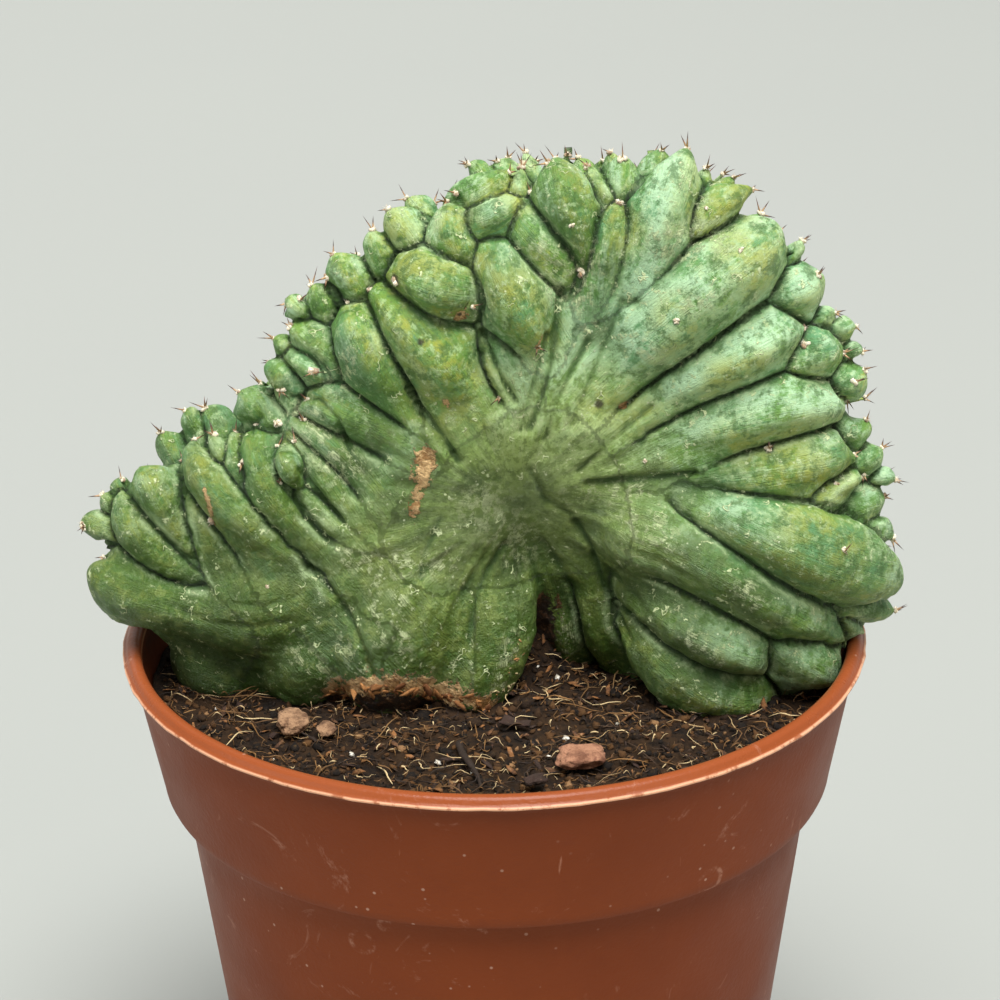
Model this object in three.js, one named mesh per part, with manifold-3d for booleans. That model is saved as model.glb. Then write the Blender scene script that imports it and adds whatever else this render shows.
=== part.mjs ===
// A crested Myrtillocactus in a round nursery pot.
// Millimetres, +Z up. The origin is the middle of the pot's underside, and the crest's broad
// front face looks along -Y.

import * as THREE from 'three';
import { mergeVertices } from 'three/addons/utils/BufferGeometryUtils.js';
import Module from 'manifold-3d';

// Driving dimensions of the pot. Its height is to the thin moulding ledge round the rim, and the
// lip's round crown stands above that.
const POT_HEIGHT = 93;
const RIM_RADIUS = 52.5;
const COLLAR_HEIGHT = 20.5;
const COLLAR_FOOT_RADIUS = 47.6;
const BODY_TOP_RADIUS = 45;
const BASE_RADIUS = 36;
const WALL = 1.4;
const FLOOR = 2;
const LEDGE_HEIGHT = 0.5;
const LEDGE_WIDTH = 0.4;
const LIP_CROWN = 1.2;
const LIP_WIDTH = 2.4;
const POT_SIDES = 56;
const DRAIN_COUNT = 8;
const DRAIN_RADIUS = 3;
const DRAIN_RING = 27;

// Driving dimensions of the soil
const SOIL_DROP = 5.5;
const CLEARANCE = 0.3;
const LUMP = 0.8;
const SEAT_FADE = 2;

// Driving dimensions of the crest
const HUB = { x: 3, z: 24 };
const BODY_HALF = 12;
const RIB_SEAT_EDGE = 4;
const RIB_SEAT_RISE = 6.5;
const SLIM_RIB = 6;
const STOUT_RIB = 13;
const RIB_ROOT_SHARE = 0.84;
const RIB_TIP_GAIN = 0.3;
const RIB_DEPTH_SHARE = 0.92;
const BACK_RIB_WIDTH = 7.2;
const SHORT_RIB_WIDTH = 4.4;
const EDGE_RIB_WIDTH = 4.2;
const BACK_RIB_STEP = 11.5;
const ROOT_HALF_LENGTH = 32;
const ROOT_HALF_WIDTH = 4.5;
const ROOT_DEPTH = 11;
const NEEDLE_LENGTH = 3;
const NEEDLE_RADIUS = 0.32;
const NEEDLE_SUNK = 1.6;

const SOIL_TOP = POT_HEIGHT - SOIL_DROP;

// How far the plant's body reaches from the hub, every 15 degrees, from +X towards +Z.
// The ribs' tips stand past it.
const BODY_REACH = [
  47, 45.5, 44.5, 46, 47, 43.5, 41.5, 36.5, 34, 34.5, 34, 36.5,
  49, 57.5, 54.5, 50, 42.5, 39, 38, 40, 44.5, 51.5, 52.5, 50,
];

// The ribs of the front face. Each has its root, middle and tip as [x, z] with z from the rim's
// plane, then its width, and how far those three points stand out of the seat for ribs.
const FRONT_RIBS = [
  // Upper left, from the crown down the growing edge
  { at: [[4, 59.5], [1.5, 64.5], [0.5, 67]], width: 8, lift: [-3, -1, 0] },
  { at: [[4.5, 62], [7, 58.5], [11, 56.5]], width: 8, lift: [-3, 0, 2] },
  { at: [[3.5, 59.5], [2, 62.5], [0.5, 64.5]], width: 7.5, lift: [-1, 1, 2] },
  { at: [[0, 59.5], [2.5, 54.5], [5.5, 48.5]], width: 9, lift: [-2, 1, 3] },
  { at: [[-3.5, 53.5], [-4.5, 59], [-5, 63.5]], width: 8, lift: [-1, 1, 2] },
  { at: [[-11.5, 54.5], [-7.5, 54.5], [-3, 52.5]], width: 10, lift: [0, 2, 3] },
  { at: [[1, 33.5], [-8, 46.5], [-15, 52.5]], width: 11.5, lift: [-2, 1, 3] },
  { at: [[-12, 36], [-16, 45.5], [-18.5, 49.5]], width: 8.5, lift: [-2, 1, 1] },
  { at: [[-9, 57], [-10.5, 60], [-12, 62]], width: 7, lift: [-2, 0, 0] },
  { at: [[-7, 58.5], [-9, 61], [-10.5, 62.5]], width: 5, lift: [-6, -6, -5] },
  { at: [[-12.5, 54.5], [-13.5, 57.5], [-14.5, 60]], width: 5.5, lift: [-1, 0, 0] },
  { at: [[-17, 51], [-18.5, 54.5], [-20, 56.5]], width: 6, lift: [-2, 0, 0] },
  { at: [[-22, 48.5], [-22.5, 51], [-23.5, 53]], width: 4.5, lift: [-1, 0, 0] },
  { at: [[-18.5, 50.5], [-20, 52.5], [-21.5, 53.5]], width: 4, lift: [-1, 0, 0] },
  { at: [[-24.5, 47.5], [-26, 50], [-27, 50.5]], width: 4, lift: [-1, 0, 0] },
  { at: [[-21, 43], [-24, 45.5], [-26.5, 47.5]], width: 6, lift: [-1, 1, 1] },
  { at: [[-26, 43], [-27.5, 44.5], [-29, 45.5]], width: 4, lift: [-1, 0, 0] },
  { at: [[-27, 43], [-25, 43], [-23, 41.5]], width: 5, lift: [-1, 1, 2] },
  { at: [[-27, 41.5], [-28, 40.5], [-28.5, 39]], width: 5.5, lift: [-1, 1, 2] },
  { at: [[-31, 34], [-32.5, 36.5], [-34, 38]], width: 6, lift: [-2, 0, 0] },
  // The left lobe
  { at: [[-36.5, 29.5], [-38, 32], [-39.5, 33.5]], width: 5, lift: [-6, -5, -5] },
  { at: [[-39.5, 29], [-41, 32], [-42, 33.5]], width: 4.5, lift: [-6, -5, -5] },
  { at: [[-43, 26], [-44.5, 28.5], [-45.5, 30.5]], width: 4.5, lift: [-6, -5, -5] },
  { at: [[-35.5, 27], [-36.5, 30], [-38, 32]], width: 4.5, lift: [-2, 1, 1] },
  { at: [[-27.5, 19], [-33.5, 28.5], [-35, 32.5]], width: 5, lift: [-2, 1, 1] },
  { at: [[-22.5, 15.5], [-31, 27.5], [-32, 33.5]], width: 6.5, lift: [-2, 1, 1] },
  { at: [[-27.5, 26], [-28, 28.5], [-28.5, 30]], width: 4, lift: [-1, 0, 0] },
  { at: [[-22.5, 12], [-36, 24.5], [-40.5, 31]], width: 7, lift: [-2, 1, 1] },
  { at: [[-33.5, 9], [-40.5, 21.5], [-42.5, 28]], width: 4.5, lift: [-2, 0, 0] },
  { at: [[-40, 12], [-45.5, 23.5], [-47, 26.5]], width: 8.5, lift: [-2, 1, 1] },
  { at: [[-35.5, 5.5], [-46, 16.5], [-49.5, 21]], width: 7.5, lift: [-2, 1, 1] },
  { at: [[-32, 6], [-50, 10], [-54, 13]], width: 9.5, lift: [-1, 1, 1] },
  { at: [[-50, 16], [-53, 17.5], [-55.5, 18.5]], width: 6, lift: [-1, 0, 0] },
  { at: [[-51, 20], [-52.5, 22], [-53.5, 23]], width: 4, lift: [-1, 0, 0] },
  { at: [[-50, 22.5], [-51, 24.5], [-51.5, 25.5]], width: 4, lift: [-1, 0, 0] },
  // The wrinkled stretch between the left lobe and the hub
  { at: [[-12.5, 32], [-18.5, 35.5], [-23.5, 37.5]], width: 7.5, lift: [-3, -1, 0] },
  { at: [[-16, 26.5], [-20, 31], [-24.5, 34.5]], width: 6, lift: [-3, -1, 0] },
  { at: [[-19.5, 23], [-22.5, 27.5], [-26, 31.5]], width: 5, lift: [-3, -1, 0] },
  { at: [[-21.5, 20], [-25, 23.5], [-28.5, 26.5]], width: 5, lift: [-3, -1, 0] },
  // The crown and the right side, clockwise
  { at: [[6.5, 58.5], [5.5, 65], [5, 69]], width: 5, lift: [-7, -6, -6] },
  { at: [[5, 60], [4.5, 65], [4.5, 68.5]], width: 5, lift: [-1, 0, 0] },
  { at: [[10, 48], [10.5, 64], [8.5, 69.5]], width: 8.5, lift: [-2, 1, 0] },
  { at: [[15, 59.5], [13.5, 65], [12, 68]], width: 5, lift: [-7, -6, -6] },
  { at: [[15.5, 59.5], [14.5, 64.5], [13, 68]], width: 5, lift: [-1, 0, 0] },
  { at: [[18, 61], [17, 65.5], [16.5, 68.5]], width: 4.5, lift: [-7, -6, -6] },
  { at: [[17.5, 61.5], [17.5, 65.5], [18, 69]], width: 4.5, lift: [-1, 0, 0] },
  { at: [[13.5, 44], [18.5, 59.5], [18, 64]], width: 7.5, lift: [-2, 1, 1] },
  { at: [[12, 40], [23.5, 63], [26, 70.5]], width: 8.5, lift: [-3, 1, 0] },
  { at: [[22, 62.5], [22, 66.5], [22.5, 69]], width: 5, lift: [-7, -6, -6] },
  { at: [[26.5, 59.5], [28, 64.5], [29, 68.5]], width: 4, lift: [-2, 0, 0] },
  { at: [[27.5, 60.5], [30.5, 64.5], [32.5, 67]], width: 4, lift: [-2, 0, 0] },
  { at: [[13.5, 42.5], [28.5, 60.5], [34.5, 65]], width: 8, lift: [-3, 1, 1] },
  { at: [[10.5, 37], [27.5, 51.5], [38, 60]], width: 12.5, lift: [-4, 1, 2] },
  { at: [[38.5, 52.5], [40, 56], [41.5, 58]], width: 5, lift: [-2, 0, 0] },
  { at: [[32, 48.5], [40, 51.5], [44, 53]], width: 8, lift: [-1, 1, 1] },
  { at: [[41.5, 46], [44, 47.5], [46, 48]], width: 4, lift: [-1, 0, 0] },
  { at: [[46, 44], [47.5, 45.5], [49, 46]], width: 4, lift: [-1, 0, 0] },
  { at: [[14.5, 32.5], [31.5, 43], [40.5, 46]], width: 9.5, lift: [-3, 1, 1] },
  { at: [[38.5, 41.5], [43, 43], [46.5, 43]], width: 7.5, lift: [0, 2, 2] },
  { at: [[45, 37], [48, 38.5], [50, 40]], width: 6.5, lift: [0, 1, 1] },
  { at: [[47, 41], [48.5, 42.5], [50, 42.5]], width: 4, lift: [-1, 0, 0] },
  { at: [[12, 25], [32.5, 35], [48, 35]], width: 9.5, lift: [-4, 1, 1] },
  { at: [[47, 30.5], [49.5, 31], [51, 32.5]], width: 6, lift: [-1, 0, 0] },
  { at: [[49, 26.5], [51.5, 27.5], [53, 28.5]], width: 5, lift: [-1, 0, 0] },
  { at: [[20, 24.5], [38.5, 28.5], [48.5, 28.5]], width: 8.5, lift: [-2, 1, 1] },
  { at: [[40.5, 24.5], [45.5, 25.5], [50, 25.5]], width: 6, lift: [1, 2, 2] },
  { at: [[48.5, 20.5], [51.5, 21], [53.5, 21.5]], width: 5.5, lift: [-1, 0, 0] },
  { at: [[52, 24], [53.5, 24.5], [55, 24]], width: 4, lift: [-1, 0, 0] },
  { at: [[20, 22], [41, 18], [54.5, 10.5]], width: 12.5, lift: [-2, 2, 1] },
  { at: [[49, 18.5], [52.5, 17], [55, 15.5]], width: 5, lift: [-1, 0, 0] },
  { at: [[10.5, 21], [24, 18], [35, 11.5]], width: 10.5, lift: [-3, 1, 1] },
  { at: [[24.5, 14], [38, 9], [49, 1.5]], width: 8, lift: [-2, 1, 2] },
  { at: [[47.5, 8.5], [51.5, 6.5], [55, 5.5]], width: 5, lift: [-1, 0, 0] },
  { at: [[46, 6.5], [49, 4.5], [51.5, 1.5]], width: 4, lift: [-1, 0, 0] },
  { at: [[15, 12], [28.5, 7], [35.5, 3]], width: 10, lift: [-3, 1, 1] },
  { at: [[16, 10.5], [25.5, 1], [32.5, -4.5]], width: 11.5, lift: [-3, 1, 1] },
  { at: [[36.5, 4], [43, 0], [47, -4]], width: 8.5, lift: [-1, 1, 1] },
];

// Swollen stretches with no areole: the fold's inner lobes, the stump and the hub
const FRONT_SWELLINGS = [
  { at: [[9, 6.5], [9.5, 0], [10, -5]], width: 7, lift: [-1, 0, 1] },
  { at: [[14, 8], [15, 1], [16, -5.5]], width: 7, lift: [-1, 0, 0] },
  { at: [[1.5, 17], [-1.5, 5.5], [-3.5, -8]], width: 13, lift: [-4, -1, 0] },
  { at: [[-6, 18.5], [-12.5, 9], [-15, -5.5]], width: 18, lift: [-4, -1, 0] },
  { at: [[-20, 9], [-25, 1.5], [-28, -7]], width: 13, lift: [-4, -2, -1] },
  { at: [[-34.5, 0.5], [-38.5, -3], [-40.5, -8.5]], width: 13, lift: [-4, -3, -3] },
  { at: [[-20, 10.5], [-32, 8.5], [-45.5, 8]], width: 13.5, lift: [-4, -2, -2] },
  { at: [[8, 33], [-5, 21], [-14, 7.5]], width: 20, lift: [-5, -4, -4] },
  { at: [[11.5, 42], [8.5, 29], [3, 15]], width: 17, lift: [-6, -4.5, -5] },
];

// Stones and scraps that lie on the soil, with each one's half sizes and its turn about +Z
const LOOSE_PIECES = [
  { name: 'stone_left', x: -27.5, y: -20, size: [3, 2.2, 2], turn: 1.1, colour: 0xa08678 },
  { name: 'stone_left_small', x: -23, y: -21.5, size: [1.7, 1.4, 1.2], turn: 1.3, colour: 0xa8917f },
  { name: 'stone_front', x: 11, y: -31.5, size: [3.3, 2.4, 1.8], turn: 0.1, colour: 0x9c6f58 },
  { name: 'bark_middle', x: 2.5, y: -19, size: [2.4, 1.2, 0.8], turn: -0.3, colour: 0x7a5538 },
  { name: 'bark_front', x: 5, y: -36.5, size: [1.8, 1.1, 0.8], turn: 0.4, colour: 0x8a6040 },
  { name: 'twig', x: -3.5, y: -32, size: [6.5, 0.6, 0.6], turn: -1.3, colour: 0x9c7648 },
];

const wasm = await Module();
wasm.setup();

// A repeatable draw between 0 and 1
function seededDraw(seed) {
  let state = seed;
  return () => {
    state = (state * 1664525 + 1013904223) % 4294967296;
    return state / 4294967296;
  };
}

function smoothStep(low, high, value) {
  const share = Math.min(1, Math.max(0, (value - low) / (high - low)));
  return share * share * (3 - 2 * share);
}

// A closed geometry as a solid that can be joined and cut
function toSolid(geometry) {
  const bare = geometry.clone();
  bare.deleteAttribute('normal');
  bare.deleteAttribute('uv');
  const merged = mergeVertices(bare, 1e-4);
  const mesh = new wasm.Mesh({
    numProp: 3,
    vertProperties: new Float32Array(merged.attributes.position.array),
    triVerts: new Uint32Array(merged.index.array),
  });
  return new wasm.Manifold(mesh);
}

function toGeometry(solid) {
  const mesh = solid.getMesh();
  const geometry = new THREE.BufferGeometry();
  geometry.setAttribute('position', new THREE.BufferAttribute(new Float32Array(mesh.vertProperties), 3));
  geometry.setIndex(new THREE.BufferAttribute(new Uint32Array(mesh.triVerts), 1));
  geometry.computeVertexNormals();
  return geometry;
}

function joined(solids) {
  return solids.reduce((whole, solid) => whole.add(solid));
}

// The body of a solid that holds most of it, with loose scraps dropped
function largestBody(solid) {
  return solid.decompose().sort((a, b) => b.volume() - a.volume())[0];
}

// A lathed ring or cup about +Z, from its closed outline of [radius, z] points
function turned(outline, sides) {
  const profile = outline.map(([radius, z]) => new THREE.Vector2(radius, z));
  profile.push(profile[0].clone());
  return new THREE.LatheGeometry(profile, sides).rotateX(Math.PI / 2);
}

function bodyWallRadius(z) {
  const bodyHeight = POT_HEIGHT - COLLAR_HEIGHT;
  return BASE_RADIUS + ((BODY_TOP_RADIUS - BASE_RADIUS) * z) / bodyHeight;
}

function collarRadius(z) {
  const share = (z - (POT_HEIGHT - COLLAR_HEIGHT)) / COLLAR_HEIGHT;
  return COLLAR_FOOT_RADIUS + (RIM_RADIUS - 1.2 - COLLAR_FOOT_RADIUS) * share;
}

// The pot: a tapered cup with a wider collar, a round lip on a thin ledge, and drain holes
function makePot() {
  const collarFoot = POT_HEIGHT - COLLAR_HEIGHT;
  const ledgeFoot = POT_HEIGHT - LEDGE_HEIGHT;
  const lipTop = POT_HEIGHT + LIP_CROWN;
  const lipInside = RIM_RADIUS - LIP_WIDTH;
  const outline = [
    [0, 0],
    [BASE_RADIUS - 1, 0],
    [bodyWallRadius(1), 1],
    [BODY_TOP_RADIUS, collarFoot],
    [COLLAR_FOOT_RADIUS - 0.5, collarFoot + 0.5],
    [collarRadius(collarFoot + 2), collarFoot + 2],
    [collarRadius(ledgeFoot), ledgeFoot],
    [RIM_RADIUS, POT_HEIGHT - LEDGE_HEIGHT / 2],
    [RIM_RADIUS, POT_HEIGHT],
    [RIM_RADIUS - LEDGE_WIDTH, POT_HEIGHT],
    [RIM_RADIUS - LEDGE_WIDTH, POT_HEIGHT + LIP_CROWN / 2],
    [(RIM_RADIUS - LEDGE_WIDTH + lipInside) / 2 + 0.5, lipTop],
    [(RIM_RADIUS - LEDGE_WIDTH + lipInside) / 2 - 0.5, lipTop],
    [lipInside, POT_HEIGHT + LIP_CROWN / 2],
    [collarRadius(collarFoot + 2) - WALL, collarFoot + 2],
    [BODY_TOP_RADIUS - WALL, collarFoot - 1],
    [bodyWallRadius(FLOOR) - WALL, FLOOR],
    [0, FLOOR],
  ];
  let cup = toSolid(turned(outline, POT_SIDES));
  for (let i = 0; i < DRAIN_COUNT; i += 1) {
    const angle = (2 * Math.PI * i) / DRAIN_COUNT;
    const drill = new THREE.CylinderGeometry(DRAIN_RADIUS, DRAIN_RADIUS, 3 * FLOOR, 16);
    drill.rotateX(Math.PI / 2);
    drill.translate(DRAIN_RING * Math.cos(angle), DRAIN_RING * Math.sin(angle), FLOOR / 2);
    cup = cup.subtract(toSolid(drill));
  }
  return cup;
}

// The middle sheet's y at a place on the crest: it folds forward, back and forward again low
// down, and is straight at the crown
function sheetDepth(x, z) {
  const fade = 1 - smoothStep(-2, 38, z);
  let wave = Math.cos((2 * Math.PI * (x - 8)) / 50);
  if (x < -17) {
    wave = -1 + Math.min(1, (-17 - x) / 25);
  }
  if (x > 33) {
    wave = -1 + Math.min(1, (x - 33) / 30);
  }
  const depth = x > 8 || wave > 0 ? 8 : 5;
  return depth * wave * fade;
}

function bodyReach(angle) {
  const step = (2 * Math.PI) / BODY_REACH.length;
  const place = ((angle + 2 * Math.PI) % (2 * Math.PI)) / step;
  const low = Math.floor(place) % BODY_REACH.length;
  const high = (low + 1) % BODY_REACH.length;
  const share = smoothStep(0, 1, place - Math.floor(place));
  return BODY_REACH[low] * (1 - share) + BODY_REACH[high] * share;
}

// The share of the way from the hub to the body's edge
function edgeShare(x, z) {
  const angle = Math.atan2(z - HUB.z, x - HUB.x);
  return Math.hypot(x - HUB.x, z - HUB.z) / bodyReach(angle);
}

// The body is slimmer where it enters the soil
function footShare(z) {
  return 0.65 + 0.35 * smoothStep(-6, 10, z);
}

// How far in front of or behind the middle sheet a rib's middle line is seated
function ribSeat(x, z) {
  const share = Math.min(1, edgeShare(x, z));
  return (RIB_SEAT_EDGE + RIB_SEAT_RISE * Math.sqrt(1 - share * share)) * footShare(z);
}

// The flattened body that every rib grows from: a sphere stretched to the body's reach
function bodySolid() {
  const shape = new THREE.SphereGeometry(1, 30, 8).rotateX(Math.PI / 2);
  const places = shape.attributes.position;
  for (let i = 0; i < places.count; i += 1) {
    const share = Math.hypot(places.getX(i), places.getY(i));
    const angle = Math.atan2(places.getY(i), places.getX(i));
    const reach = share * bodyReach(angle);
    const x = HUB.x + reach * Math.cos(angle);
    const z = HUB.z + reach * Math.sin(angle);
    const half = BODY_HALF * Math.sqrt(Math.abs(places.getZ(i))) * footShare(z);
    const y = sheetDepth(x, z) - Math.sign(places.getZ(i)) * half;
    places.setXYZ(i, x, y, z);
  }
  return toSolid(shape);
}

// A rib's middle line, seated on the front face (face -1) or the back face (face 1)
function ribLine({ at, lift }, face) {
  const points = at.map(([x, z], i) => (
    new THREE.Vector3(x, sheetDepth(x, z) + face * (ribSeat(x, z) + lift[i]), z)
  ));
  const [root, middle, tip] = points;
  const pull = middle.clone().multiplyScalar(2).addScaledVector(root, -0.5).addScaledVector(tip, -0.5);
  return new THREE.QuadraticBezierCurve3(root, pull, tip);
}

// A rib: a sphere drawn out along its middle line, fuller towards the tip
function ribSolid(rib, face) {
  const rings = rib.width < SLIM_RIB ? 3 : 5;
  let sides = rib.width < SLIM_RIB ? 5 : 6;
  if (rib.width >= STOUT_RIB) {
    sides = 8;
  }
  const line = ribLine(rib, face);
  const shape = new THREE.SphereGeometry(1, sides, rings);
  const places = shape.attributes.position;
  for (let i = 0; i < places.count; i += 1) {
    const share = (1 + places.getY(i)) / 2;
    const ring = Math.hypot(places.getX(i), places.getZ(i));
    const along = line.getTangent(share);
    const across = along.clone().cross(new THREE.Vector3(0, face, 0)).normalize();
    const outward = across.clone().cross(along);
    const blunt = ring < 1e-6 ? 0 : Math.pow(ring, 0.8) / ring;
    const radius = (blunt * (RIB_ROOT_SHARE + RIB_TIP_GAIN * share) * rib.width) / 2;
    const place = line.getPoint(share);
    place.addScaledVector(across, places.getX(i) * radius);
    place.addScaledVector(outward, places.getZ(i) * radius * RIB_DEPTH_SHARE);
    places.setXYZ(i, place.x, place.y, place.z);
  }
  return toSolid(shape);
}

// A three-sided needle that stands out of a place, its root sunk in
function needleSolid(place, direction) {
  const length = NEEDLE_LENGTH + NEEDLE_SUNK;
  const needle = new THREE.ConeGeometry(NEEDLE_RADIUS, length, 3);
  needle.translate(0, length / 2 - NEEDLE_SUNK, 0);
  needle.applyQuaternion(new THREE.Quaternion().setFromUnitVectors(new THREE.Vector3(0, 1, 0), direction));
  needle.translate(place.x, place.y, place.z);
  return toSolid(needle);
}

// The needles of the areole at a rib's tip
function tipNeedles(rib, face, count, draw) {
  const line = ribLine(rib, face);
  const along = line.getTangent(1);
  const outward = along.clone().multiplyScalar(0.8).add(new THREE.Vector3(0, face * 0.45, 0.25)).normalize();
  const place = line.getPoint(0.97).addScaledVector(outward, rib.width * 0.12);
  const needles = [];
  for (let i = 0; i < count; i += 1) {
    const lean = new THREE.Vector3(draw() - 0.5, draw() - 0.5, draw() - 0.5).multiplyScalar(1.3);
    needles.push(needleSolid(place, outward.clone().add(lean).normalize()));
  }
  return needles;
}

// Ribs placed by rule: long ones that radiate over the back, short ones between their tips, and a
// row along the growing edge between the front's and the back's
function ribsByRule(draw) {
  const ribs = [];
  const degrees = Math.PI / 180;
  const add = (angle, from, to, width, lift, bend) => {
    const at = [from, (from + to) / 2, to].map((share, i) => {
      const turn = i === 1 ? angle + bend : angle;
      const reach = share * bodyReach(angle);
      return [HUB.x + reach * Math.cos(turn), HUB.z + reach * Math.sin(turn)];
    });
    ribs.push({ at, width, lift });
  };
  for (let angle = -24; angle < 206; angle += BACK_RIB_STEP) {
    const turn = (angle + 4 * (draw() - 0.5)) * degrees;
    const width = (BACK_RIB_WIDTH * bodyReach(turn)) / 44;
    add(turn, 0.15 + 0.15 * draw(), 1.03 + 0.04 * draw(), width, [-4, 0.5, 0.5], 0.1 * (draw() - 0.5));
  }
  for (let angle = -18; angle < 206; angle += BACK_RIB_STEP) {
    const turn = (angle + 4 * (draw() - 0.5)) * degrees;
    add(turn, 0.78, 1.02 + 0.05 * draw(), SHORT_RIB_WIDTH, [-1, 1, 0.5], 0);
  }
  for (let angle = -22; angle < 206; angle += BACK_RIB_STEP) {
    const turn = (angle + 3 * (draw() - 0.5)) * degrees;
    add(turn, 0.86, 1.04 + 0.05 * draw(), EDGE_RIB_WIDTH, [-3.5, -3.5, -3], 0);
  }
  return ribs;
}

// The buried foot follows the fold of the body. The soil's hole is the same shape, a little larger.
function rootSolid(grow, top, bottom) {
  const outline = [];
  for (let i = 0; i < 32; i += 1) {
    const angle = (2 * Math.PI * i) / 32;
    const x = -2 + (ROOT_HALF_LENGTH + grow) * Math.cos(angle);
    const y = sheetDepth(x, -SOIL_DROP) + (ROOT_HALF_WIDTH + grow) * Math.sin(angle);
    outline.push(new THREE.Vector2(x, y));
  }
  const block = new THREE.ExtrudeGeometry(new THREE.Shape(outline), { depth: top - bottom, bevelEnabled: false });
  return toSolid(block.translate(0, 0, bottom));
}

// What the crest stays clear of: the soil below and the pot's wall round it
function keepOutSolid() {
  const floor = POT_HEIGHT - 40;
  const outline = [
    [0, floor],
    [90, floor],
    [90, POT_HEIGHT + LIP_CROWN + CLEARANCE],
    [RIM_RADIUS - LIP_WIDTH - CLEARANCE, POT_HEIGHT + LIP_CROWN + CLEARANCE],
    [RIM_RADIUS - LIP_WIDTH - CLEARANCE - 1, SOIL_TOP + CLEARANCE],
    [0, SOIL_TOP + CLEARANCE],
  ];
  return toSolid(turned(outline, POT_SIDES));
}

function makeCrest() {
  const draw = seededDraw(7);
  const backRibs = ribsByRule(draw);
  const solids = [bodySolid()];
  FRONT_SWELLINGS.forEach((swelling) => solids.push(ribSolid(swelling, -1)));
  FRONT_RIBS.forEach((rib) => {
    solids.push(ribSolid(rib, -1));
    solids.push(...tipNeedles(rib, -1, 1, draw));
  });
  backRibs.forEach((rib) => {
    solids.push(ribSolid(rib, 1));
    solids.push(...tipNeedles(rib, 1, 1, draw));
  });
  const above = joined(solids).translate([0, 0, POT_HEIGHT]).subtract(keepOutSolid());
  const foot = rootSolid(0, SOIL_TOP + 3, SOIL_TOP - ROOT_DEPTH);
  return largestBody(above.add(foot));
}

// The soil's top: low lumps, level under the plant and under each loose piece
function soilHeight(x, y) {
  const lumps = Math.sin(0.55 * x + 1.3) * Math.cos(0.47 * y - 0.4)
    + 0.6 * Math.sin(1.1 * x - 0.8 * y) + 0.5 * Math.cos(0.9 * x + 1.27 * y + 2);
  let open = smoothStep(0.9, 1.1, Math.hypot((x + 1) / 50, (y + 1) / 20));
  LOOSE_PIECES.forEach((piece) => {
    const half = Math.max(...piece.size);
    open *= smoothStep(half, half + SEAT_FADE, Math.hypot(x - piece.x, y - piece.y));
  });
  const dish = -1.5 * smoothStep(40, 49, Math.hypot(x, y));
  return SOIL_TOP + open * (LUMP * lumps + dish);
}

function makeSoil() {
  const innerTop = collarRadius(SOIL_TOP) - WALL - CLEARANCE;
  const innerLow = bodyWallRadius(FLOOR) - WALL - CLEARANCE;
  const collarFoot = POT_HEIGHT - COLLAR_HEIGHT;
  const floor = FLOOR + CLEARANCE;
  const outline = [[0, floor], [innerLow, floor], [BODY_TOP_RADIUS - WALL - CLEARANCE - 0.2, collarFoot - 1]];
  outline.push([innerTop - 1, SOIL_TOP - 3]);
  for (let radius = innerTop - 1; radius > 2; radius -= 4) {
    outline.push([radius, SOIL_TOP]);
  }
  outline.push([0, SOIL_TOP]);
  const plug = turned(outline, POT_SIDES);
  const places = plug.attributes.position;
  for (let i = 0; i < places.count; i += 1) {
    if (places.getZ(i) > SOIL_TOP - 0.01) {
      places.setZ(i, soilHeight(places.getX(i), places.getY(i)));
    }
  }
  const hole = rootSolid(2 * CLEARANCE, SOIL_TOP + 5, SOIL_TOP - ROOT_DEPTH - CLEARANCE);
  return largestBody(toSolid(plug).subtract(hole));
}

// A stone or scrap: a rough lump with a flat underside that lies just clear of the soil
function makeLoosePiece({ x, y, size, turn }, seed) {
  const draw = seededDraw(seed);
  const bare = new THREE.IcosahedronGeometry(1, 1);
  bare.deleteAttribute('normal');
  bare.deleteAttribute('uv');
  const lump = mergeVertices(bare, 1e-4);
  const places = lump.attributes.position;
  for (let i = 0; i < places.count; i += 1) {
    const rough = 0.85 + 0.3 * draw();
    const low = -0.45;
    places.setXYZ(
      i,
      places.getX(i) * rough * size[0],
      places.getY(i) * rough * size[1],
      Math.max(low, places.getZ(i) * rough) * size[2],
    );
  }
  lump.rotateZ(turn);
  return toSolid(lump.translate(x, y, SOIL_TOP + CLEARANCE + 0.45 * size[2]));
}

const pottedCactus = new THREE.Group();

function addPiece(name, solid, colour, roughness) {
  const material = new THREE.MeshStandardMaterial({ color: colour, roughness, metalness: 0 });
  const mesh = new THREE.Mesh(toGeometry(solid), material);
  mesh.name = name;
  pottedCactus.add(mesh);
}

addPiece('pot', makePot(), 0xa85f42, 0.55);
addPiece('soil', makeSoil(), 0x3a2a1f, 0.95);
addPiece('crest', makeCrest(), 0x6b9468, 0.6);
LOOSE_PIECES.forEach((piece, i) => {
  addPiece(piece.name, makeLoosePiece(piece, 11 + i), piece.colour, 0.9);
});

export default pottedCactus;
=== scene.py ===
# %% [markdown]
# # A crested Myrtillocactus in its nursery pot
#
# This cactus is one plant that grew as a crest. Its growing point became a long line, so the stem
# is a folded fan, and each rib ends at that line in a tuft of wool with short dark spines.
#
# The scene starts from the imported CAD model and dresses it. Every piece is in metres, in the CAD
# model's own frame: the origin is under the pot's middle, +Z is up, and the crest's front looks
# along -Y.

# %% Load the frame
import random
from contextlib import contextmanager

import bmesh
import bpy
import numpy as np
from mathutils import Matrix, Vector, noise
from mathutils.bvhtree import BVHTree


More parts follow.
